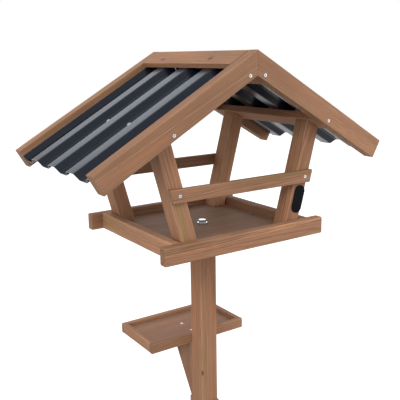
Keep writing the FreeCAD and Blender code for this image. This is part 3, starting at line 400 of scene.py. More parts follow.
def roof_material():
    """Dark coil coating on steel: a satin skin with a fine orange-peel, and bright metal where it is cut."""
    material, g, shader = principled("anthracite_coated_steel")
    mask = dust_and_marks(g, size=16.0)["Mask"]
    cut = g.attribute("cut_edge")
    coat = g.mix(g.times(mask, 0.03), colour(ROOF_COAT), colour(ROOF_DUST))
    g.feed(shader.inputs["Base Color"], g.mix(cut, coat, colour(CUT_STEEL)))
    g.feed(shader.inputs["Metallic"], g.times(cut, 0.85))
    g.feed(shader.inputs["Roughness"], g.plus(g.times(mask, 0.04), 0.28))
    shader.inputs["Specular IOR Level"].default_value = 0.28
    shader.inputs["Specular Tint"].default_value = (0.86, 0.92, 1.0, 1.0)
    bump(g, shader, g.noise(g.own_place(), scale=900.0), PEEL_RELIEF)
    return material


def zinc_material():
    """Bright zinc plating with a faint mottle, and painted shade in a head's recess and round its rim."""
    material, g, shader = principled("zinc_plated_steel")
    marks = dust_and_marks(g, size=240.0)
    # The rim attribute is painted shade in a head's recess and round its edge
    rim = g.attribute("rim")
    plate = g.mix(g.times(marks["Mask"], 0.6), colour(ZINC), colour(ZINC_DULL))
    g.feed(shader.inputs["Base Color"], g.mix(rim, plate, colour(ZINC_PAINTED_SHADE)))
    g.feed(shader.inputs["Metallic"], g.maths("MULTIPLY_ADD", rim, -0.5, 0.9))
    g.feed(shader.inputs["Roughness"], g.plus(g.times(marks["Mask"], 0.2), 0.3))
    bump(g, shader, marks["Height"], MARK_RELIEF)
    return material


def badge_material():
    """Plain black plastic with a soft sheen and faint scuffs."""
    material, g, shader = principled("black_badge_plastic")
    marks = dust_and_marks(g, size=90.0)
    plastic = g.mix(g.times(marks["Mask"], 0.3), colour(BADGE_BLACK), colour(BADGE_SCUFF))
    g.feed(shader.inputs["Base Color"], plastic)
    g.feed(shader.inputs["Roughness"], g.plus(g.times(marks["Mask"], 0.15), 0.6))
    shader.inputs["Specular IOR Level"].default_value = 0.06
    bump(g, shader, marks["Height"], SCUFF_RELIEF)
    return material


TIMBER = board_material("brown_stained_timber", STAINED_TIMBER, ring_gap=4.0 * MM)
PANEL_WOOD = board_material("brown_stained_panel", STAINED_PANEL, ring_gap=6.5 * MM)
SHELF_WOOD = board_material("brown_stained_shelf", STAINED_SHELF, ring_gap=4.8 * MM)
FOOT_ACROSS_WOOD = board_material("brown_stained_foot_across", STAINED_TIMBER, ring_gap=3.4 * MM, turn=0.0)
FOOT_ALONG_WOOD = board_material("brown_stained_foot_along", STAINED_TIMBER, ring_gap=3.4 * MM,
                                 turn=math.radians(-90))
DOWEL_WOOD = board_material("beech_dowel", BARE_BEECH, ring_gap=1.6 * MM, turn=math.radians(90))
ROOF_METAL = roof_material()
ZINC_PLATE = zinc_material()
BADGE_PLASTIC = badge_material()


# Mesh tools


def cad_points(node):
    """All vertices of a CAD node, in metres."""
    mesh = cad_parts[node].data
    points = np.empty(len(mesh.vertices) * 3)
    mesh.vertices.foreach_get("co", points)
    return points.reshape(-1, 3)


def mesh_volume(points, faces):
    """Signed volume inside a closed mesh, from the tetrahedra between its faces' triangles and the origin."""
    total = 0.0
    for face in faces:
        a = points[face[0]]
        for second, third in zip(face[1:-1], face[2:]):
            total += np.dot(a, np.cross(points[second], points[third])) / 6
    return total


def outward(points, faces):
    """The faces of a closed mesh, all turned over if they look inwards."""
    return [face[::-1] for face in faces] if mesh_volume(points, faces) < 0 else faces


def tube(rows, count):
    """Vertex numbers of rings in rows, and the quads that join each ring to the next with the seam closed."""
    index = np.arange(rows * count).reshape(rows, count)
    beside = np.roll(index, -1, axis=1)
    return index, np.stack([index[:-1], beside[:-1], beside[1:], index[1:]], axis=-1)


def new_object(name, data):
    """A new object of the scene that holds some data."""
    made = bpy.data.objects.new(name, data)
    bpy.context.scene.collection.objects.link(made)
    return made


def add_piece(name, points, faces, material, replaces, smooth, point_values=None, face_values=None):
    """Make a mesh object from arrays, give it attributes, and let it ride and stand for CAD nodes."""
    mesh = bpy.data.meshes.new(name)
    mesh.from_pydata(points.tolist(), [], faces)
    mesh.update()
    mesh.polygons.foreach_set("use_smooth", np.asarray(smooth, bool))
    for domain, values in (("POINT", point_values or {}), ("FACE", face_values or {})):
        for label, data in values.items():
            data = np.asarray(data, np.float32)
            kind = "FLOAT" if data.ndim == 1 else {3: "FLOAT_VECTOR", 4: "FLOAT_COLOR"}[data.shape[1]]
            field = {"FLOAT": "value", "FLOAT_VECTOR": "vector", "FLOAT_COLOR": "color"}[kind]
            mesh.attributes.new(label, kind, domain).data.foreach_set(field, data.ravel())
    mesh.materials.append(material)
    piece = new_object(name, mesh)
    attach(piece, BODY)
    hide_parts(*replaces)
    return piece


def sharpen(piece, degrees):
    """Mark the edges that turn more than an angle as sharp, so that smooth shading stops there."""
    mesh = piece.data
    normals = np.empty(len(mesh.polygons) * 3)
    mesh.polygons.foreach_get("normal", normals)
    normals = normals.reshape(-1, 3)
    totals = np.empty(len(mesh.polygons), np.int32)
    mesh.polygons.foreach_get("loop_total", totals)
    edges = np.empty(len(mesh.loops), np.int32)
    mesh.loops.foreach_get("edge_index", edges)
    owner = np.repeat(np.arange(len(totals)), totals)
    order = np.argsort(edges, kind="stable")
    edges, owner = edges[order], owner[order]
    paired = edges[1:] == edges[:-1]
    first, second = owner[:-1][paired], owner[1:][paired]
    turn = np.einsum("ij,ij->i", normals[first], normals[second])
    sharp = np.zeros(len(mesh.edges), bool)
    sharp[edges[1:][paired]] = turn < math.cos(math.radians(degrees))
    mesh.attributes.new("sharp_edge", "BOOLEAN", "EDGE").data.foreach_set("value", sharp)


# Boards
ARC_STEPS = 4
FLAT_SUPPORT = 0.6 * MM
LEAST_RADIUS = 0.05 * MM
ARRIS_WAVE = 0.22
WAVE_SINES = 4
# The rings of an end's arris: how far in and how far along they lie, as shares of its radius
END_INSETS = [1.0, 0.45, 0.12]
END_DEPTHS = [0.0, 0.12, 0.45]


def rounded_outline(corners, radius, inset):
    """Points round a convex outline with arcs at its corners, shrunk by an inset.

    Each corner's arc has its centre at the corner moved in by the radius, and runs between the two edges'
    outward normals. One extra point beyond each end of an arc keeps the flats flat.
    Returns the points and, for each, 1 on an arc and 0 beyond it.
    """
    corners = np.asarray(corners, float)
    edges = np.roll(corners, -1, axis=0) - corners
    edges /= np.linalg.norm(edges, axis=1, keepdims=True)
    normals = np.stack([edges[:, 1], -edges[:, 0]], axis=1)
    points = []
    arris = []
    for index, corner in enumerate(corners):
        before = normals[index - 1]
        after = normals[index]
        centre = corner - radius * (before + after) / (1 + before @ after)
        start = math.atan2(before[1], before[0])
        turn = (math.atan2(after[1], after[0]) - start) % math.tau
        angles = start + turn * np.linspace(0, 1, ARC_STEPS + 1)
        arc = centre + max(radius - inset, LEAST_RADIUS) * np.stack([np.cos(angles), np.sin(angles)], axis=1)
        points += [arc[:1] - FLAT_SUPPORT * edges[index - 1], arc, arc[-1:] + FLAT_SUPPORT * edges[index]]
        arris += [0.0] + [1.0] * (ARC_STEPS + 1) + [0.0]
    return np.concatenate(points), np.array(arris)


def slow_wave(values, seed):
    """A smooth random wave with values of about -1 to 1: a few sines of random length and phase."""
    rng = np.random.default_rng(seed)
    wave = np.zeros_like(values)
    for _ in range(WAVE_SINES):
        wave += np.sin(values * rng.uniform(12, 70) + rng.uniform(0, math.tau)) * rng.uniform(0.4, 1.0)
    return wave / WAVE_SINES


def board_rings(cad, along, across, section, cuts, radius, end_radius, stations, seed):
    """Rings of a rounded section, carried along a board from one cut plane to the other.

    A plane is given by its outward direction and touches the CAD node's vertices. A ring's radius varies a
    little along the board, and the last rings shrink, which rounds the end's own arris.
    Returns all points, the arris mask of one ring, and each ring's share of the length.
    """
    third = np.cross(along, across)
    span = (cad @ along).max() - (cad @ along).min()
    shares = np.concatenate([[0, 0, 0], np.linspace(0, 1, stations), [1, 1, 1]])
    insets = np.concatenate([END_INSETS, np.zeros(stations), END_INSETS[::-1]]) * end_radius
    depths = np.concatenate([END_DEPTHS, np.ones(stations), END_DEPTHS[::-1]]) * end_radius
    radii = radius * (1 + ARRIS_WAVE * slow_wave(shares * span, seed))
    rings = []
    for share, inset, depth, ring_radius in zip(shares, insets, depths, radii):
        outline, arris = rounded_outline(section, ring_radius, inset)
        base = outline[:, :1] * across + outline[:, 1:] * third
        low, high = [((cad @ cut).max() - base @ cut) / (along @ cut) for cut in cuts]
        position = low + depth + (high - low - 2 * depth) * share
        rings.append(base + position[:, None] * along)
    return np.concatenate(rings), arris, shares


def timber(node, along, across, seed, section=None, start_cut=None, end_cut=None, radius=1.6 * MM,
           end_radius=0.9 * MM, material=TIMBER, grain=None, knots=(),
           streak=(0.0, 0.0, 0.0), lean=None, tone=None, figure=1.0, dent=None, stations=28):
    """A sawn and planed board in the place of its CAD node.

    The section is an outline in the plane square to the board's length, or else the node's own box there. The
    lean tilts the grain against the board, and the tone runs from one value at its start to another at its
    end; a random tone is the wood's own, and on some boards the given tone is painted light or shade. The
    figure is the strength of its markings. A knot is its place from the board's middle and its size, in
    millimetres.
    The streak is its place across and its half width, in millimetres, and its strength.
    """
    cad = cad_points(node)
    along = along / np.linalg.norm(along)
    across = across / np.linalg.norm(across)
    if section is None:
        v, w = cad @ across, cad @ np.cross(along, across)
        section = [(v.min(), w.min()), (v.max(), w.min()), (v.max(), w.max()), (v.min(), w.max())]
    cuts = (-along if start_cut is None else start_cut, along if end_cut is None else end_cut)
    points, arris, shares = board_rings(cad, along, across, section, cuts, radius, end_radius, stations, seed)
    if dent is not None:
        points = dent(points)
    count = len(arris)
    index, sides = tube(len(shares), count)
    faces = sides.reshape(-1, 4).tolist() + [index[0][::-1].tolist(), index[-1].tolist()]
    ends = np.append(np.zeros(len(faces) - 2), [1.0, 1.0])

    # The board's own place: along the grain, and two ways across it, from a pith beside the board
    rng = np.random.default_rng(seed)
    grain = along if grain is None else grain / np.linalg.norm(grain)
    first = across if abs(grain @ across) < 0.5 else along
    axes = np.stack([grain, first, np.cross(grain, first)], axis=1)
    middle = (cad.max(0) + cad.min(0)) / 2
    pith = np.array([rng.uniform(0, 9), rng.uniform(0.02, 0.06) * rng.choice([-1, 1]),
                     rng.uniform(0.025, 0.07) * rng.choice([-1, 1])])
    tone = [rng.uniform(-0.6, 0.6)] * 2 if tone is None else tone
    lean = rng.uniform(-0.03, 0.03, 2) if lean is None else lean
    tilt = np.array([[1.0, lean[0], lean[1]], [0.0, 1.0, 0.0], [0.0, 0.0, 1.0]])
    values = {
        "grain": (points - middle) @ axes @ tilt + pith,
        "arris": np.tile(arris, len(shares)),
        "tone": np.repeat(np.interp(shares, [0, 1], tone), count),
        "figure": np.full(len(points), figure),
        "streak": np.tile([streak[0] * MM + pith[2], streak[1] * MM, streak[2]], (len(points), 1)),
    }
    for letter, knot in zip("ab", [*knots, None, None]):
        mark = np.zeros(4) if knot is None else np.append(np.array(knot[:3]) * MM @ tilt + pith, knot[3] * MM)
        values[f"knot_{letter}"] = np.tile(mark, (len(points), 1))
    add_piece(f"{node}_dressed", points, outward(points, faces), material, [node], ends < 0.5, values,
              {"end_grain": ends})


# Screws
SCREW_STEPS = 40
HEAD_RINGS = 14
HEAD_MIDDLE = 0.06
SHANK_SHARE = 0.5
POINT_SHARE = 0.12
POINT_LENGTH = 4 * MM
RECESS_DEPTH = 1.0 * MM
RECESS_ARM = 0.48
RECESS_WIDTH = 0.16
# Painted shade on screw heads: how dark the recess gets, and where the dark ring round a countersunk head
# starts and how wide it is
RECESS_SHADE = 0.7
RIM_START = 0.7
RIM_WIDTH = 0.16
END_SLICE = 1 * MM


def separate_solids(node):
    """The vertices of each separate solid of a CAD node.

    Vertices at one place are merged, then each takes the lowest label of its triangle until nothing changes.
    """
    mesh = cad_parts[node].data
    merged, label = np.unique(np.round(cad_points(node), 6), axis=0, return_inverse=True)
    label = label.ravel()
    corners = np.empty(len(mesh.loops), np.int32)
    mesh.loops.foreach_get("vertex_index", corners)
    triangles = label[corners].reshape(-1, 3)
    group = np.arange(len(merged))
    while True:
        lowest = group[triangles].min(axis=1)
        new = group.copy()
        for column in range(3):
            np.minimum.at(new, triangles[:, column], lowest)
        if (new == group).all():
            break
        group = new
    return [merged[group == value] for value in np.unique(group[triangles[:, 0]])]


def screw_frame(solid):
    """A screw's axis from point to head, the top of its head, the head's height, its length and its radius.

    The axis is the direction of the solid's largest spread, and the head is the end with the wider rings.
    """
    centre = solid.mean(0)
    axis = np.linalg.svd(solid - centre)[2][0]
    heights = (solid - centre) @ axis
    radii = np.linalg.norm(solid - centre - heights[:, None] * axis, axis=1)
    top = radii[heights > heights.max() - END_SLICE].max()
    bottom = radii[heights < heights.min() + END_SLICE].max()
    if bottom > top:
        axis = -axis
        heights = -heights
    wide = radii.max()
    height = heights.max()
    rim = heights[radii > wide * 0.98]
    return axis, centre + height * axis, height - rim.min(), height - heights.min(), wide


def domed_profile(head, head_height, length):
    """Radii and heights from the head's middle to the point: a round dome, a flat underside, a shank."""
    spread = np.linspace(HEAD_MIDDLE, 1, HEAD_RINGS)
    radii = head * np.concatenate([spread, [1, SHANK_SHARE, SHANK_SHARE, POINT_SHARE]])
    dome = 0.8 * head_height * (np.sqrt(1 - (0.92 * spread) ** 2) - 1)
    return radii, np.concatenate([dome, [-head_height, -head_height, POINT_LENGTH - length, -length]])


def countersunk_profile(head, length):
    """Radii and heights from the head's middle to the point: a slight crown, a cone, a shank."""
    spread = np.linspace(HEAD_MIDDLE, 0.97, HEAD_RINGS)
    radii = head * np.concatenate([spread, [1, 0.99, SHANK_SHARE, SHANK_SHARE, POINT_SHARE]])
    crown = -0.12 * MM * spread ** 2
    cone_end = -head * 0.5 - 0.4 * MM
    return radii, np.concatenate([crown, [-0.2 * MM, -0.45 * MM, cone_end, POINT_LENGTH - length, -length]])


def cross_recess(x, y, depth, arm, width):
    """Depth of a cross-shaped driver recess: the deeper of two crossed bars, each with sloping walls."""
    def bar(along, beside):
        end = np.clip((arm - np.abs(along)) / (0.35 * arm), 0, 1)
        return end * np.clip((width - np.abs(beside)) / (0.5 * width), 0, 1)
    return depth * np.maximum(bar(x, y), bar(y, x))


def turned_points(axis, top, x, y, heights):
    """Points given by two places across an axis and a height along it, from its top."""
    side = np.cross(axis, X if abs(axis @ X) < 0.8 else Y)
    side /= np.linalg.norm(side)
    other = np.cross(axis, side)
    return (top + x[..., None] * side + y[..., None] * other + heights[..., None] * axis).reshape(-1, 3)


def turned_faces(rows, steps):
    """Quads between rings, and fans to the two poles that follow the rings' vertices."""
    index, sides = tube(rows, steps)
    beside = np.roll(index, -1, axis=1)
    first_pole = np.full(steps, rows * steps)
    first_fan = np.stack([first_pole, index[0], beside[0]], axis=-1)
    last_fan = np.stack([first_pole + 1, beside[-1], index[-1]], axis=-1)
    return sides[..., [0, 3, 2, 1]].reshape(-1, 4).tolist() + first_fan.tolist() + last_fan.tolist()


def screws(node, domed=False, proud=0.4 * MM):
    """Detailed screws in the place of a node's plain ones: crowned head, cross recess, shank and point.

    A countersunk head stands proud of the wood by a little, or lies below it where proud is negative. The rim
    attribute is painted shade: it grows with the recess's depth and towards a countersunk head's edge, where
    it darkens the zinc.
    """
    all_points = []
    faces = []
    painted_shades = []
    for solid in separate_solids(node):
        axis, top, head_height, length, head = screw_frame(solid)
        if domed:
            radii, heights = domed_profile(head, head_height, length)
            rim = np.zeros(len(radii))
        else:
            top = top + axis * proud
            radii, heights = countersunk_profile(head, length)
            rim = np.clip((radii / head - RIM_START) / RIM_WIDTH, 0, 1)
        angles = np.linspace(0, math.tau, SCREW_STEPS, endpoint=False)
        x, y = radii[:, None] * np.cos(angles), radii[:, None] * np.sin(angles)
        recess = cross_recess(x, y, RECESS_DEPTH, head * RECESS_ARM, head * RECESS_WIDTH)
        recess[HEAD_RINGS:] = 0.0
        rings = turned_points(axis, top, x, y, heights[:, None] - recess)
        points = np.concatenate([rings, [top - axis * RECESS_DEPTH, top + axis * heights[-1]]])
        # Painted shade: dark in the recess and round a countersunk head's edge
        shade = np.maximum(rim[:, None], RECESS_SHADE * recess / RECESS_DEPTH)
        offset = sum(len(done) for done in all_points)
        new = outward(points, turned_faces(len(radii), SCREW_STEPS))
        faces += [[corner + offset for corner in face] for face in new]
        all_points.append(points)
        painted_shades.append(np.append(shade, [RECESS_SHADE, 0.0]))
    piece = add_piece(f"{node}_dressed", np.concatenate(all_points), faces, ZINC_PLATE, [node],
                      np.ones(len(faces), bool), {"rim": np.concatenate(painted_shades)})
    sharpen(piece, degrees=35)


# Tray
TRAY_RADIUS = 3.2 * MM
TRAY_END_RADIUS = 2 * MM
HIDDEN_END_RADIUS = 0.3 * MM
WANE_MIDDLE = 170 * MM
WANE_SPREAD = 20 * MM
WANE_HEIGHT = 8 * MM
WANE_WIDTH = 10 * MM
WANE_DEPTH = 2.6 * MM


def wane(points):
    """A shallow natural dip in the front board's upper front arris, right of the middle.

    It is a bell curve along the board, and it fades out down the board's face and back over its top.
    """
    low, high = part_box("tray_front_board")
    bell = np.exp(-((points[:, 0] - WANE_MIDDLE) / WANE_SPREAD) ** 2)
    near_top = np.clip((points[:, 2] - high[2] + WANE_HEIGHT) / WANE_HEIGHT, 0, 1)
    near_front = np.clip((low[1] + WANE_WIDTH - points[:, 1]) / WANE_WIDTH, 0, 1)
    points[:, 2] -= WANE_DEPTH * bell * near_top * near_front
    return points


timber("tray_front_board", X, Y, 11, radius=TRAY_RADIUS, end_radius=TRAY_END_RADIUS, tone=(-0.6, 0.7),
       lean=(0.03, -0.03), figure=2.6, streak=(8.5, 1.2, 0.6), dent=wane, stations=90)
timber("tray_rear_board", X, Y, 12, radius=TRAY_RADIUS, end_radius=TRAY_END_RADIUS, tone=(-0.6, -0.6))
# The left board's tone is painted light: the whole board is lighter, as its outer face catches more light
timber("tray_left_board", Y, X, 13, radius=TRAY_RADIUS, end_radius=HIDDEN_END_RADIUS, tone=(1.8, 1.8),
       figure=1.3, knots=[(-71, -11, -9, 3), (-101, -10, -18, 3)])
# The right board's tone is painted shade: the whole board is darker, for the shade on its inner face
timber("tray_right_board", Y, X, 14, radius=TRAY_RADIUS, end_radius=HIDDEN_END_RADIUS, tone=(-2.0, -2.0))
# The floor's tone is painted shade: darker towards its right end
timber("tray_floor", X, Y, 15, radius=0.6 * MM, end_radius=0.5 * MM, material=PANEL_WOOD,
       tone=(0.2, -1.2))
timber("tray_bearer", X, Y, 16, tone=(-0.3, -0.3))

# Roof posts and rails
for number, (node, tone, figure) in enumerate((
    ("post_front_left", (0.6, 0.3), 1.7),
    ("post_front_right", (-0.3, -0.6), 2.6),
    ("post_rear_left", (0.3, 0.3), 1.6),
    # The rear right post's tone is painted light: lighter overall, most at its lower end
    ("post_rear_right", (2.2, 1.5), 1.6),
)):
    side = side_of(node)
    timber(node, mirror_x(POST_UP, side), Y, 21 + number, start_cut=-Z, end_cut=mirror_x(ROOF_NORMAL, side),
           tone=tone, figure=figure)
for number, node in enumerate(("rail_front", "rail_rear")):
    timber(node, X, Y, 31 + number, start_cut=mirror_x(POST_OUT, -1), end_cut=POST_OUT, tone=(-1.0, -0.5),
           figure=2.0)

# Roof timbers
for number, (node, tone, lean, streak) in enumerate((
    ("rafter_front_left", (-1.2, -1.3), (0.0, 0.045), (4, 1.2, 0.7)),
    ("rafter_front_right", (-1.1, 0.8), (0.02, -0.02), (0, 0, 0)),
    ("rafter_rear_left", (-0.5, -0.5), (0.02, 0.01), (0, 0, 0)),
    ("rafter_rear_right", (-0.3, 0.0), (-0.02, 0.02), (0, 0, 0)),
)):
    side = side_of(node)
    timber(node, mirror_x(DOWN_SLOPE, side), Y, 41 + number, start_cut=-side * X, radius=1.4 * MM, tone=tone,
           lean=lean, streak=streak)


def ridge_board(node, seed, knots):
    """A board along the ridge, whose upper edge is mitred to the roof's middle plane."""
    across = mirror_x(DOWN_SLOPE, side_of(node))
    out = mirror_x(ROOF_NORMAL, side_of(node))
    hand = 1.0 if np.cross(Y, across) @ out > 0 else -1.0
    cad = cad_points(node)
    wide = (cad @ across).max()
    top, low = (cad @ out).max(), (cad @ out).min()
    mitre = -math.tan(PITCH)
    section = [(mitre * top, hand * top), (mitre * low, hand * low), (wide, hand * low), (wide, hand * top)]
    if hand < 0:
        section = section[::-1]
    timber(node, Y, across, seed, section=section, radius=1.0 * MM, tone=(-0.7, -0.7), figure=1.5,
           knots=knots)


ridge_board("ridge_board_left", 51, [(-84, 9, 4.5, 5.5), (103, 11, 4.5, 5.5)])
ridge_board("ridge_board_right", 52, ())
for number, node in enumerate(("batten_upper_left", "batten_upper_right",
                               "batten_lower_left", "batten_lower_right")):
    timber(node, Y, mirror_x(DOWN_SLOPE, side_of(node)), 61 + number, tone=(0.6, 0.6))

# Roof sheets
RIB_PITCH = 96 * MM
RIB_CREST = 35 * MM
RIB_SIDE = 13 * MM
FIRST_RIB = 59.5 * MM
METAL = 0.7 * MM
FOLD_RADIUS = 9 * MM
FOLD_STEPS = 9
SHEET_STATIONS = 40


def folded_line(corners, radius):
    """An open line of straight runs with an arc of a given radius at each inner corner."""
    corners = np.asarray(corners)
    line = [corners[:1]]
    for before, corner, after in zip(corners[:-2], corners[1:-1], corners[2:]):
        a = (before - corner) / np.linalg.norm(before - corner)
        b = (after - corner) / np.linalg.norm(after - corner)
        half = math.acos(np.clip(a @ b, -1, 1)) / 2
        reach = radius / math.tan(half)
        centre = corner + (a + b) / np.linalg.norm(a + b) * radius / math.sin(half)
        start, end = corner + a * reach - centre, corner + b * reach - centre
        sweep = math.acos(np.clip(start @ end / radius ** 2, -1, 1))
        t = np.linspace(0, 1, FOLD_STEPS)[:, None]
        line.append(centre + (np.sin((1 - t) * sweep) * start + np.sin(t * sweep) * end) / math.sin(sweep))
    line.append(corners[-1:])
    return np.concatenate(line)


def rib_line(front, rear, rise):
    """The sheet's middle line across the roof, from its rear end to its front end, as Y and height."""
    corners = []
    rib = rear - FIRST_RIB + RIB_PITCH
    while rib - RIB_CREST > front - RIB_PITCH:
        crest_end = rib - RIB_CREST
        corners += [(rib + RIB_SIDE, 0.0), (rib, rise), (crest_end, rise), (crest_end - RIB_SIDE, 0.0)]
        rib -= RIB_PITCH
    line = folded_line(corners, FOLD_RADIUS)
    inside = (line[:, 0] < rear) & (line[:, 0] > front)
    ends = [(y, np.interp(-y, -line[:, 0], line[:, 1])) for y in (rear, front)]
    return np.concatenate([ends[:1], line[inside], ends[1:]])


def roof_sheet(node):
    """A folded sheet: the rib line given the metal's thickness, and carried down the slope."""
    down = mirror_x(DOWN_SLOPE, side_of(node))
    out = mirror_x(ROOF_NORMAL, side_of(node))
    cad = cad_points(node)
    crest, valley = (cad @ out).max(), (cad @ out).min()
    line = rib_line(cad[:, 1].min(), cad[:, 1].max(), crest - valley - METAL)
    slope = np.gradient(line, axis=0)
    slope /= np.linalg.norm(slope, axis=1, keepdims=True)
    normal = np.stack([-slope[:, 1], slope[:, 0]], axis=1)
    normal *= np.sign(normal[:, 1].sum())
    ring = np.concatenate([line + normal * METAL / 2, (line - normal * METAL / 2)[::-1]])
    base = ring[:, :1] * Y + (valley + METAL / 2 + ring[:, 1:]) * out
    stations = np.linspace((cad @ down).min(), (cad @ down).max(), SHEET_STATIONS)
    points = (base + stations[:, None, None] * down).reshape(-1, 3)

    # Faces: the skins with their two long edges, then the two cut ends
    half = len(line)
    index, sides = tube(SHEET_STATIONS, 2 * half)
    edges = np.zeros(sides.shape[:2])
    edges[:, [half - 1, 2 * half - 1]] = 1.0
    caps = []
    for row in (index[0], index[-1]):
        upper, lower = row[:half], row[half:][::-1]
        caps.append(np.stack([upper[:-1], lower[:-1], lower[1:], upper[1:]], axis=-1))
    faces = sides.reshape(-1, 4).tolist() + caps[0][:, ::-1].tolist() + caps[1].tolist()
    cut = np.append(edges.ravel(), np.ones(2 * len(caps[0])))
    piece = add_piece(f"{node}_dressed", points, outward(points, faces), ROOF_METAL, [node],
                      cut < 0.5, face_values={"cut_edge": cut})
    sharpen(piece, degrees=50)


roof_sheet("roof_sheet_left")
roof_sheet("roof_sheet_right")

# Stand
POST_RADIUS = 2 * MM
SPLICE_BEVEL = 3 * MM
timber("stand_post_upper", Z, X, 81, radius=POST_RADIUS, tone=(0.2, 0.2), figure=1.3, stations=60,
       knots=[(-87, -22, -22, 4)])
timber("stand_post_lower", Z, X, 82, radius=POST_RADIUS, tone=(0.3, 0.4), figure=1.3, stations=60)


def splice_plate(node, seed, facing):
    """A plate on the post's front or rear, with a bevel on the top and bottom edges of its outer face."""
    cad = cad_points(node)
    y, z = cad[:, 1], cad[:, 2]
    face, back = (y.min(), y.max()) if facing < 0 else (y.max(), y.min())
    low, high = z.min(), z.max()
    section = [(back, low), (back, high), (face, high - SPLICE_BEVEL), (face, low + SPLICE_BEVEL)]
    if facing > 0:
        section = section[::-1]
    timber(node, X, Y, seed, section=section, grain=Z, radius=1 * MM, stations=10)


splice_plate("splice_plate_front", 84, -1)
splice_plate("splice_plate_rear", 85, 1)

# Shelf
for number, (node, tone) in enumerate((
    # The front board's tone is painted shade at its left end and painted light at its right end
    ("shelf_front_board", (-1.2, 0.9)),
    ("shelf_rear_board", (0.1, 0.1)),
)):
    timber(node, X, Y, 91 + number, tone=tone)
for number, node in enumerate(("shelf_left_board", "shelf_right_board")):
    timber(node, Y, X, 93 + number, end_radius=HIDDEN_END_RADIUS)
timber("shelf_floor", X, Y, 95, radius=0.3 * MM, end_radius=0.3 * MM, material=SHELF_WOOD,
       tone=(0.4, 0.4))


def shelf_bracket(node, seed):
    """The sloping bracket: an outline from its reach at the top to its toe at the bottom."""
    y, z = cad_points(node)[:, 1:].T
    reach = y[z > z.max() - 0.5 * MM].max()
    toe = y[z < z.min() + 0.5 * MM].max()
    section = [(y.min(), z.min()), (toe, z.min()), (reach, z.max()), (y.min(), z.max())]
    timber(node, X, Y, seed, section=section, grain=Z, radius=1.2 * MM, stations=10)


shelf_bracket("shelf_bracket", 96)

# Foot
for number, (node, out) in enumerate((
    ("brace_right", X),
    ("brace_left", -X),
    ("brace_rear", Y),
    ("brace_front", -Y),
)):
    timber(node, out - Z, np.cross(out, Z), 101 + number, start_cut=-out, end_cut=-Z, radius=POST_RADIUS)

# Fixings
for node in ("rafter_screws", "rail_screws", "floor_screws", "shelf_screws", "bracket_screws",
             "splice_screws", "brace_screws"):
    screws(node)
screws("base_screws", proud=-0.2 * MM)
screws("sheet_screws", domed=True)

# Pieces that keep their CAD shape
for node, material in (
    ("foot_across", FOOT_ACROSS_WOOD),
    ("foot_along", FOOT_ALONG_WOOD),
    ("tray_dowels", DOWEL_WOOD),
    ("badge", BADGE_PLASTIC),
    ("stand_bolt", ZINC_PLATE),
    ("bolt_washer", ZINC_PLATE),
    ("post_foot_screws", ZINC_PLATE),
    ("post_top_screws", ZINC_PLATE),
    ("ridge_screws", ZINC_PLATE),
):
    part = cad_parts[node]
    part.data.materials.clear()
    part.data.materials.append(material)

# Studio: a pale floor, even white light all round, and five soft lamps
FLOOR_HALF = 9.0
FLOOR_DROP = 0.2 * MM
NEAR_GLOW = 0.62
NEAR_REACH = 0.5
FAR_REACH = 0.95
WORLD_LIGHT = 0.75
WHITE = (1.0, 1.0, 1.0)
COOL_WHITE = (0.75, 0.86, 1.0)


def seen_ray(g):
    """1 for a ray from the camera, from a reflection or through glass, and 0 for one that only lights."""
    path = g.node("ShaderNodeLightPath")
    seen = g.maths("MAXIMUM", path.outputs["Is Camera Ray"], path.outputs["Is Glossy Ray"])
    return g.maths("MAXIMUM", seen, path.outputs["Is Transmission Ray"])


def floor():
    """A wide pale floor: it keeps the table's soft shadow near the foot and is plain white further out."""
    mesh = bpy.data.meshes.new("floor")
    corners = [(x * FLOOR_HALF, y * FLOOR_HALF, -FLOOR_DROP) for x, y in ((-1, -1), (1, -1), (1, 1), (-1, 1))]
    mesh.from_pydata(corners, [], [[0, 1, 2, 3]])
    plane = new_object("floor", mesh)
    material, g, shader = principled("pale_floor")
    shader.inputs["Base Color"].default_value = colour(FLOOR_GREY)
    shader.inputs["Roughness"].default_value = 0.9
    shader.inputs["Specular IOR Level"].default_value = 0.0
    reach = g.vector("LENGTH", g.own_place())
    strength = g.steps(reach, NEAR_REACH, FAR_REACH, NEAR_GLOW, 1.0)
    glow = g.node("ShaderNodeEmission")
    g.feed(glow.inputs["Strength"], g.times(seen_ray(g), strength))
    both = g.node("ShaderNodeAddShader")
    g.feed(both.inputs[0], shader.outputs[0])
    g.feed(both.inputs[1], glow.outputs[0])
    g.feed(node_of(material.node_tree, "OUTPUT_MATERIAL").inputs["Surface"], both.outputs[0])
    mesh.materials.append(material)


def studio_world():
    """Even white light, seen as pure white by the camera and in reflections."""
    world = bpy.data.worlds.new("studio")
    bpy.context.scene.world = world
    world.use_nodes = True
    g = Graph(world.node_tree)
    background = node_of(world.node_tree, "BACKGROUND")
    background.inputs["Color"].default_value = (*WHITE, 1.0)
    g.feed(background.inputs["Strength"], g.steps(seen_ray(g), 0.0, 1.0, WORLD_LIGHT, 1.0))


def set_axes(obj, right, up, back):
    """Turn an object so that its own axes lie along three directions."""
    obj.rotation_euler = Matrix(np.stack([right, up, back], axis=1).tolist()).to_euler()


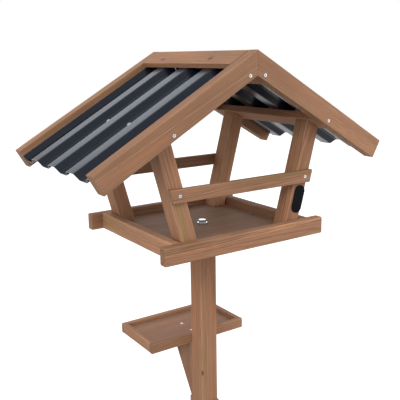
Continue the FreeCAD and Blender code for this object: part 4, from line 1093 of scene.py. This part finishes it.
def area_lamp(name, place, target, size, power, tint=WHITE):
    """A square soft lamp that looks at a point."""
    lamp = bpy.data.lights.new(name, "AREA")
    lamp.size = size
    lamp.energy = power
    lamp.color = tint
    obj = new_object(name, lamp)
    obj.location = place
    direction = np.array(target) - np.array(place)
    back = -direction / np.linalg.norm(direction)
    side = np.cross(Z, back)
    side /= np.linalg.norm(side)
    set_axes(obj, side, np.cross(back, side), back)


floor()
studio_world()
area_lamp("key_lamp", (-2.6, -2.6, 3.6), (0.0, 0.0, 1.1), size=2.2, power=90.0)
area_lamp("fill_lamp", (2.8, -2.6, 1.9), (0.0, 0.0, 1.0), size=3.3, power=46.0)
area_lamp("side_lamp", (-3.4, -0.8, 1.4), (0.0, 0.0, 1.0), size=2.2, power=24.0)
area_lamp("glint_lamp", (1.8, 2.75, 2.1), (0.0, 0.0, 0.9), size=1.0, power=6.0)
area_lamp("roof_lamp", (0.5, 3.0, 2.8), (-0.1, 0.0, 1.3), size=1.6, power=7.5, tint=COOL_WHITE)

# Camera, solved from the photograph's edges
CAMERA_PLACE = (-0.8089, -1.2108, 1.4065)
CAMERA_YAW = math.radians(33.56)
CAMERA_PITCH = math.radians(-12.92)
CAMERA_ROLL = math.radians(-0.95)
FOCAL_PIXELS = 637.0
PHOTO_WIDTH = 400.0
SENSOR = 36.0
FAR_LIMIT = 100.0


def photo_camera():
    """The photograph's camera: forward from yaw and pitch, then rolled about that line."""
    forward = np.array([math.sin(CAMERA_YAW) * math.cos(CAMERA_PITCH),
                        math.cos(CAMERA_YAW) * math.cos(CAMERA_PITCH), math.sin(CAMERA_PITCH)])
    right = np.array([math.cos(CAMERA_YAW), -math.sin(CAMERA_YAW), 0.0])
    up = np.cross(right, forward)
    rolled_right = right * math.cos(CAMERA_ROLL) + up * math.sin(CAMERA_ROLL)
    rolled_up = -right * math.sin(CAMERA_ROLL) + up * math.cos(CAMERA_ROLL)
    data = bpy.data.cameras.new("camera")
    data.sensor_width = SENSOR
    data.lens = FOCAL_PIXELS / PHOTO_WIDTH * SENSOR
    data.clip_end = FAR_LIMIT
    camera = new_object("camera", data)
    camera.location = CAMERA_PLACE
    set_axes(camera, rolled_right, rolled_up, -forward)
    bpy.context.scene.camera = camera


photo_camera()
bpy.context.scene.view_settings.view_transform = "Standard"

bpy.context.view_layer.update()
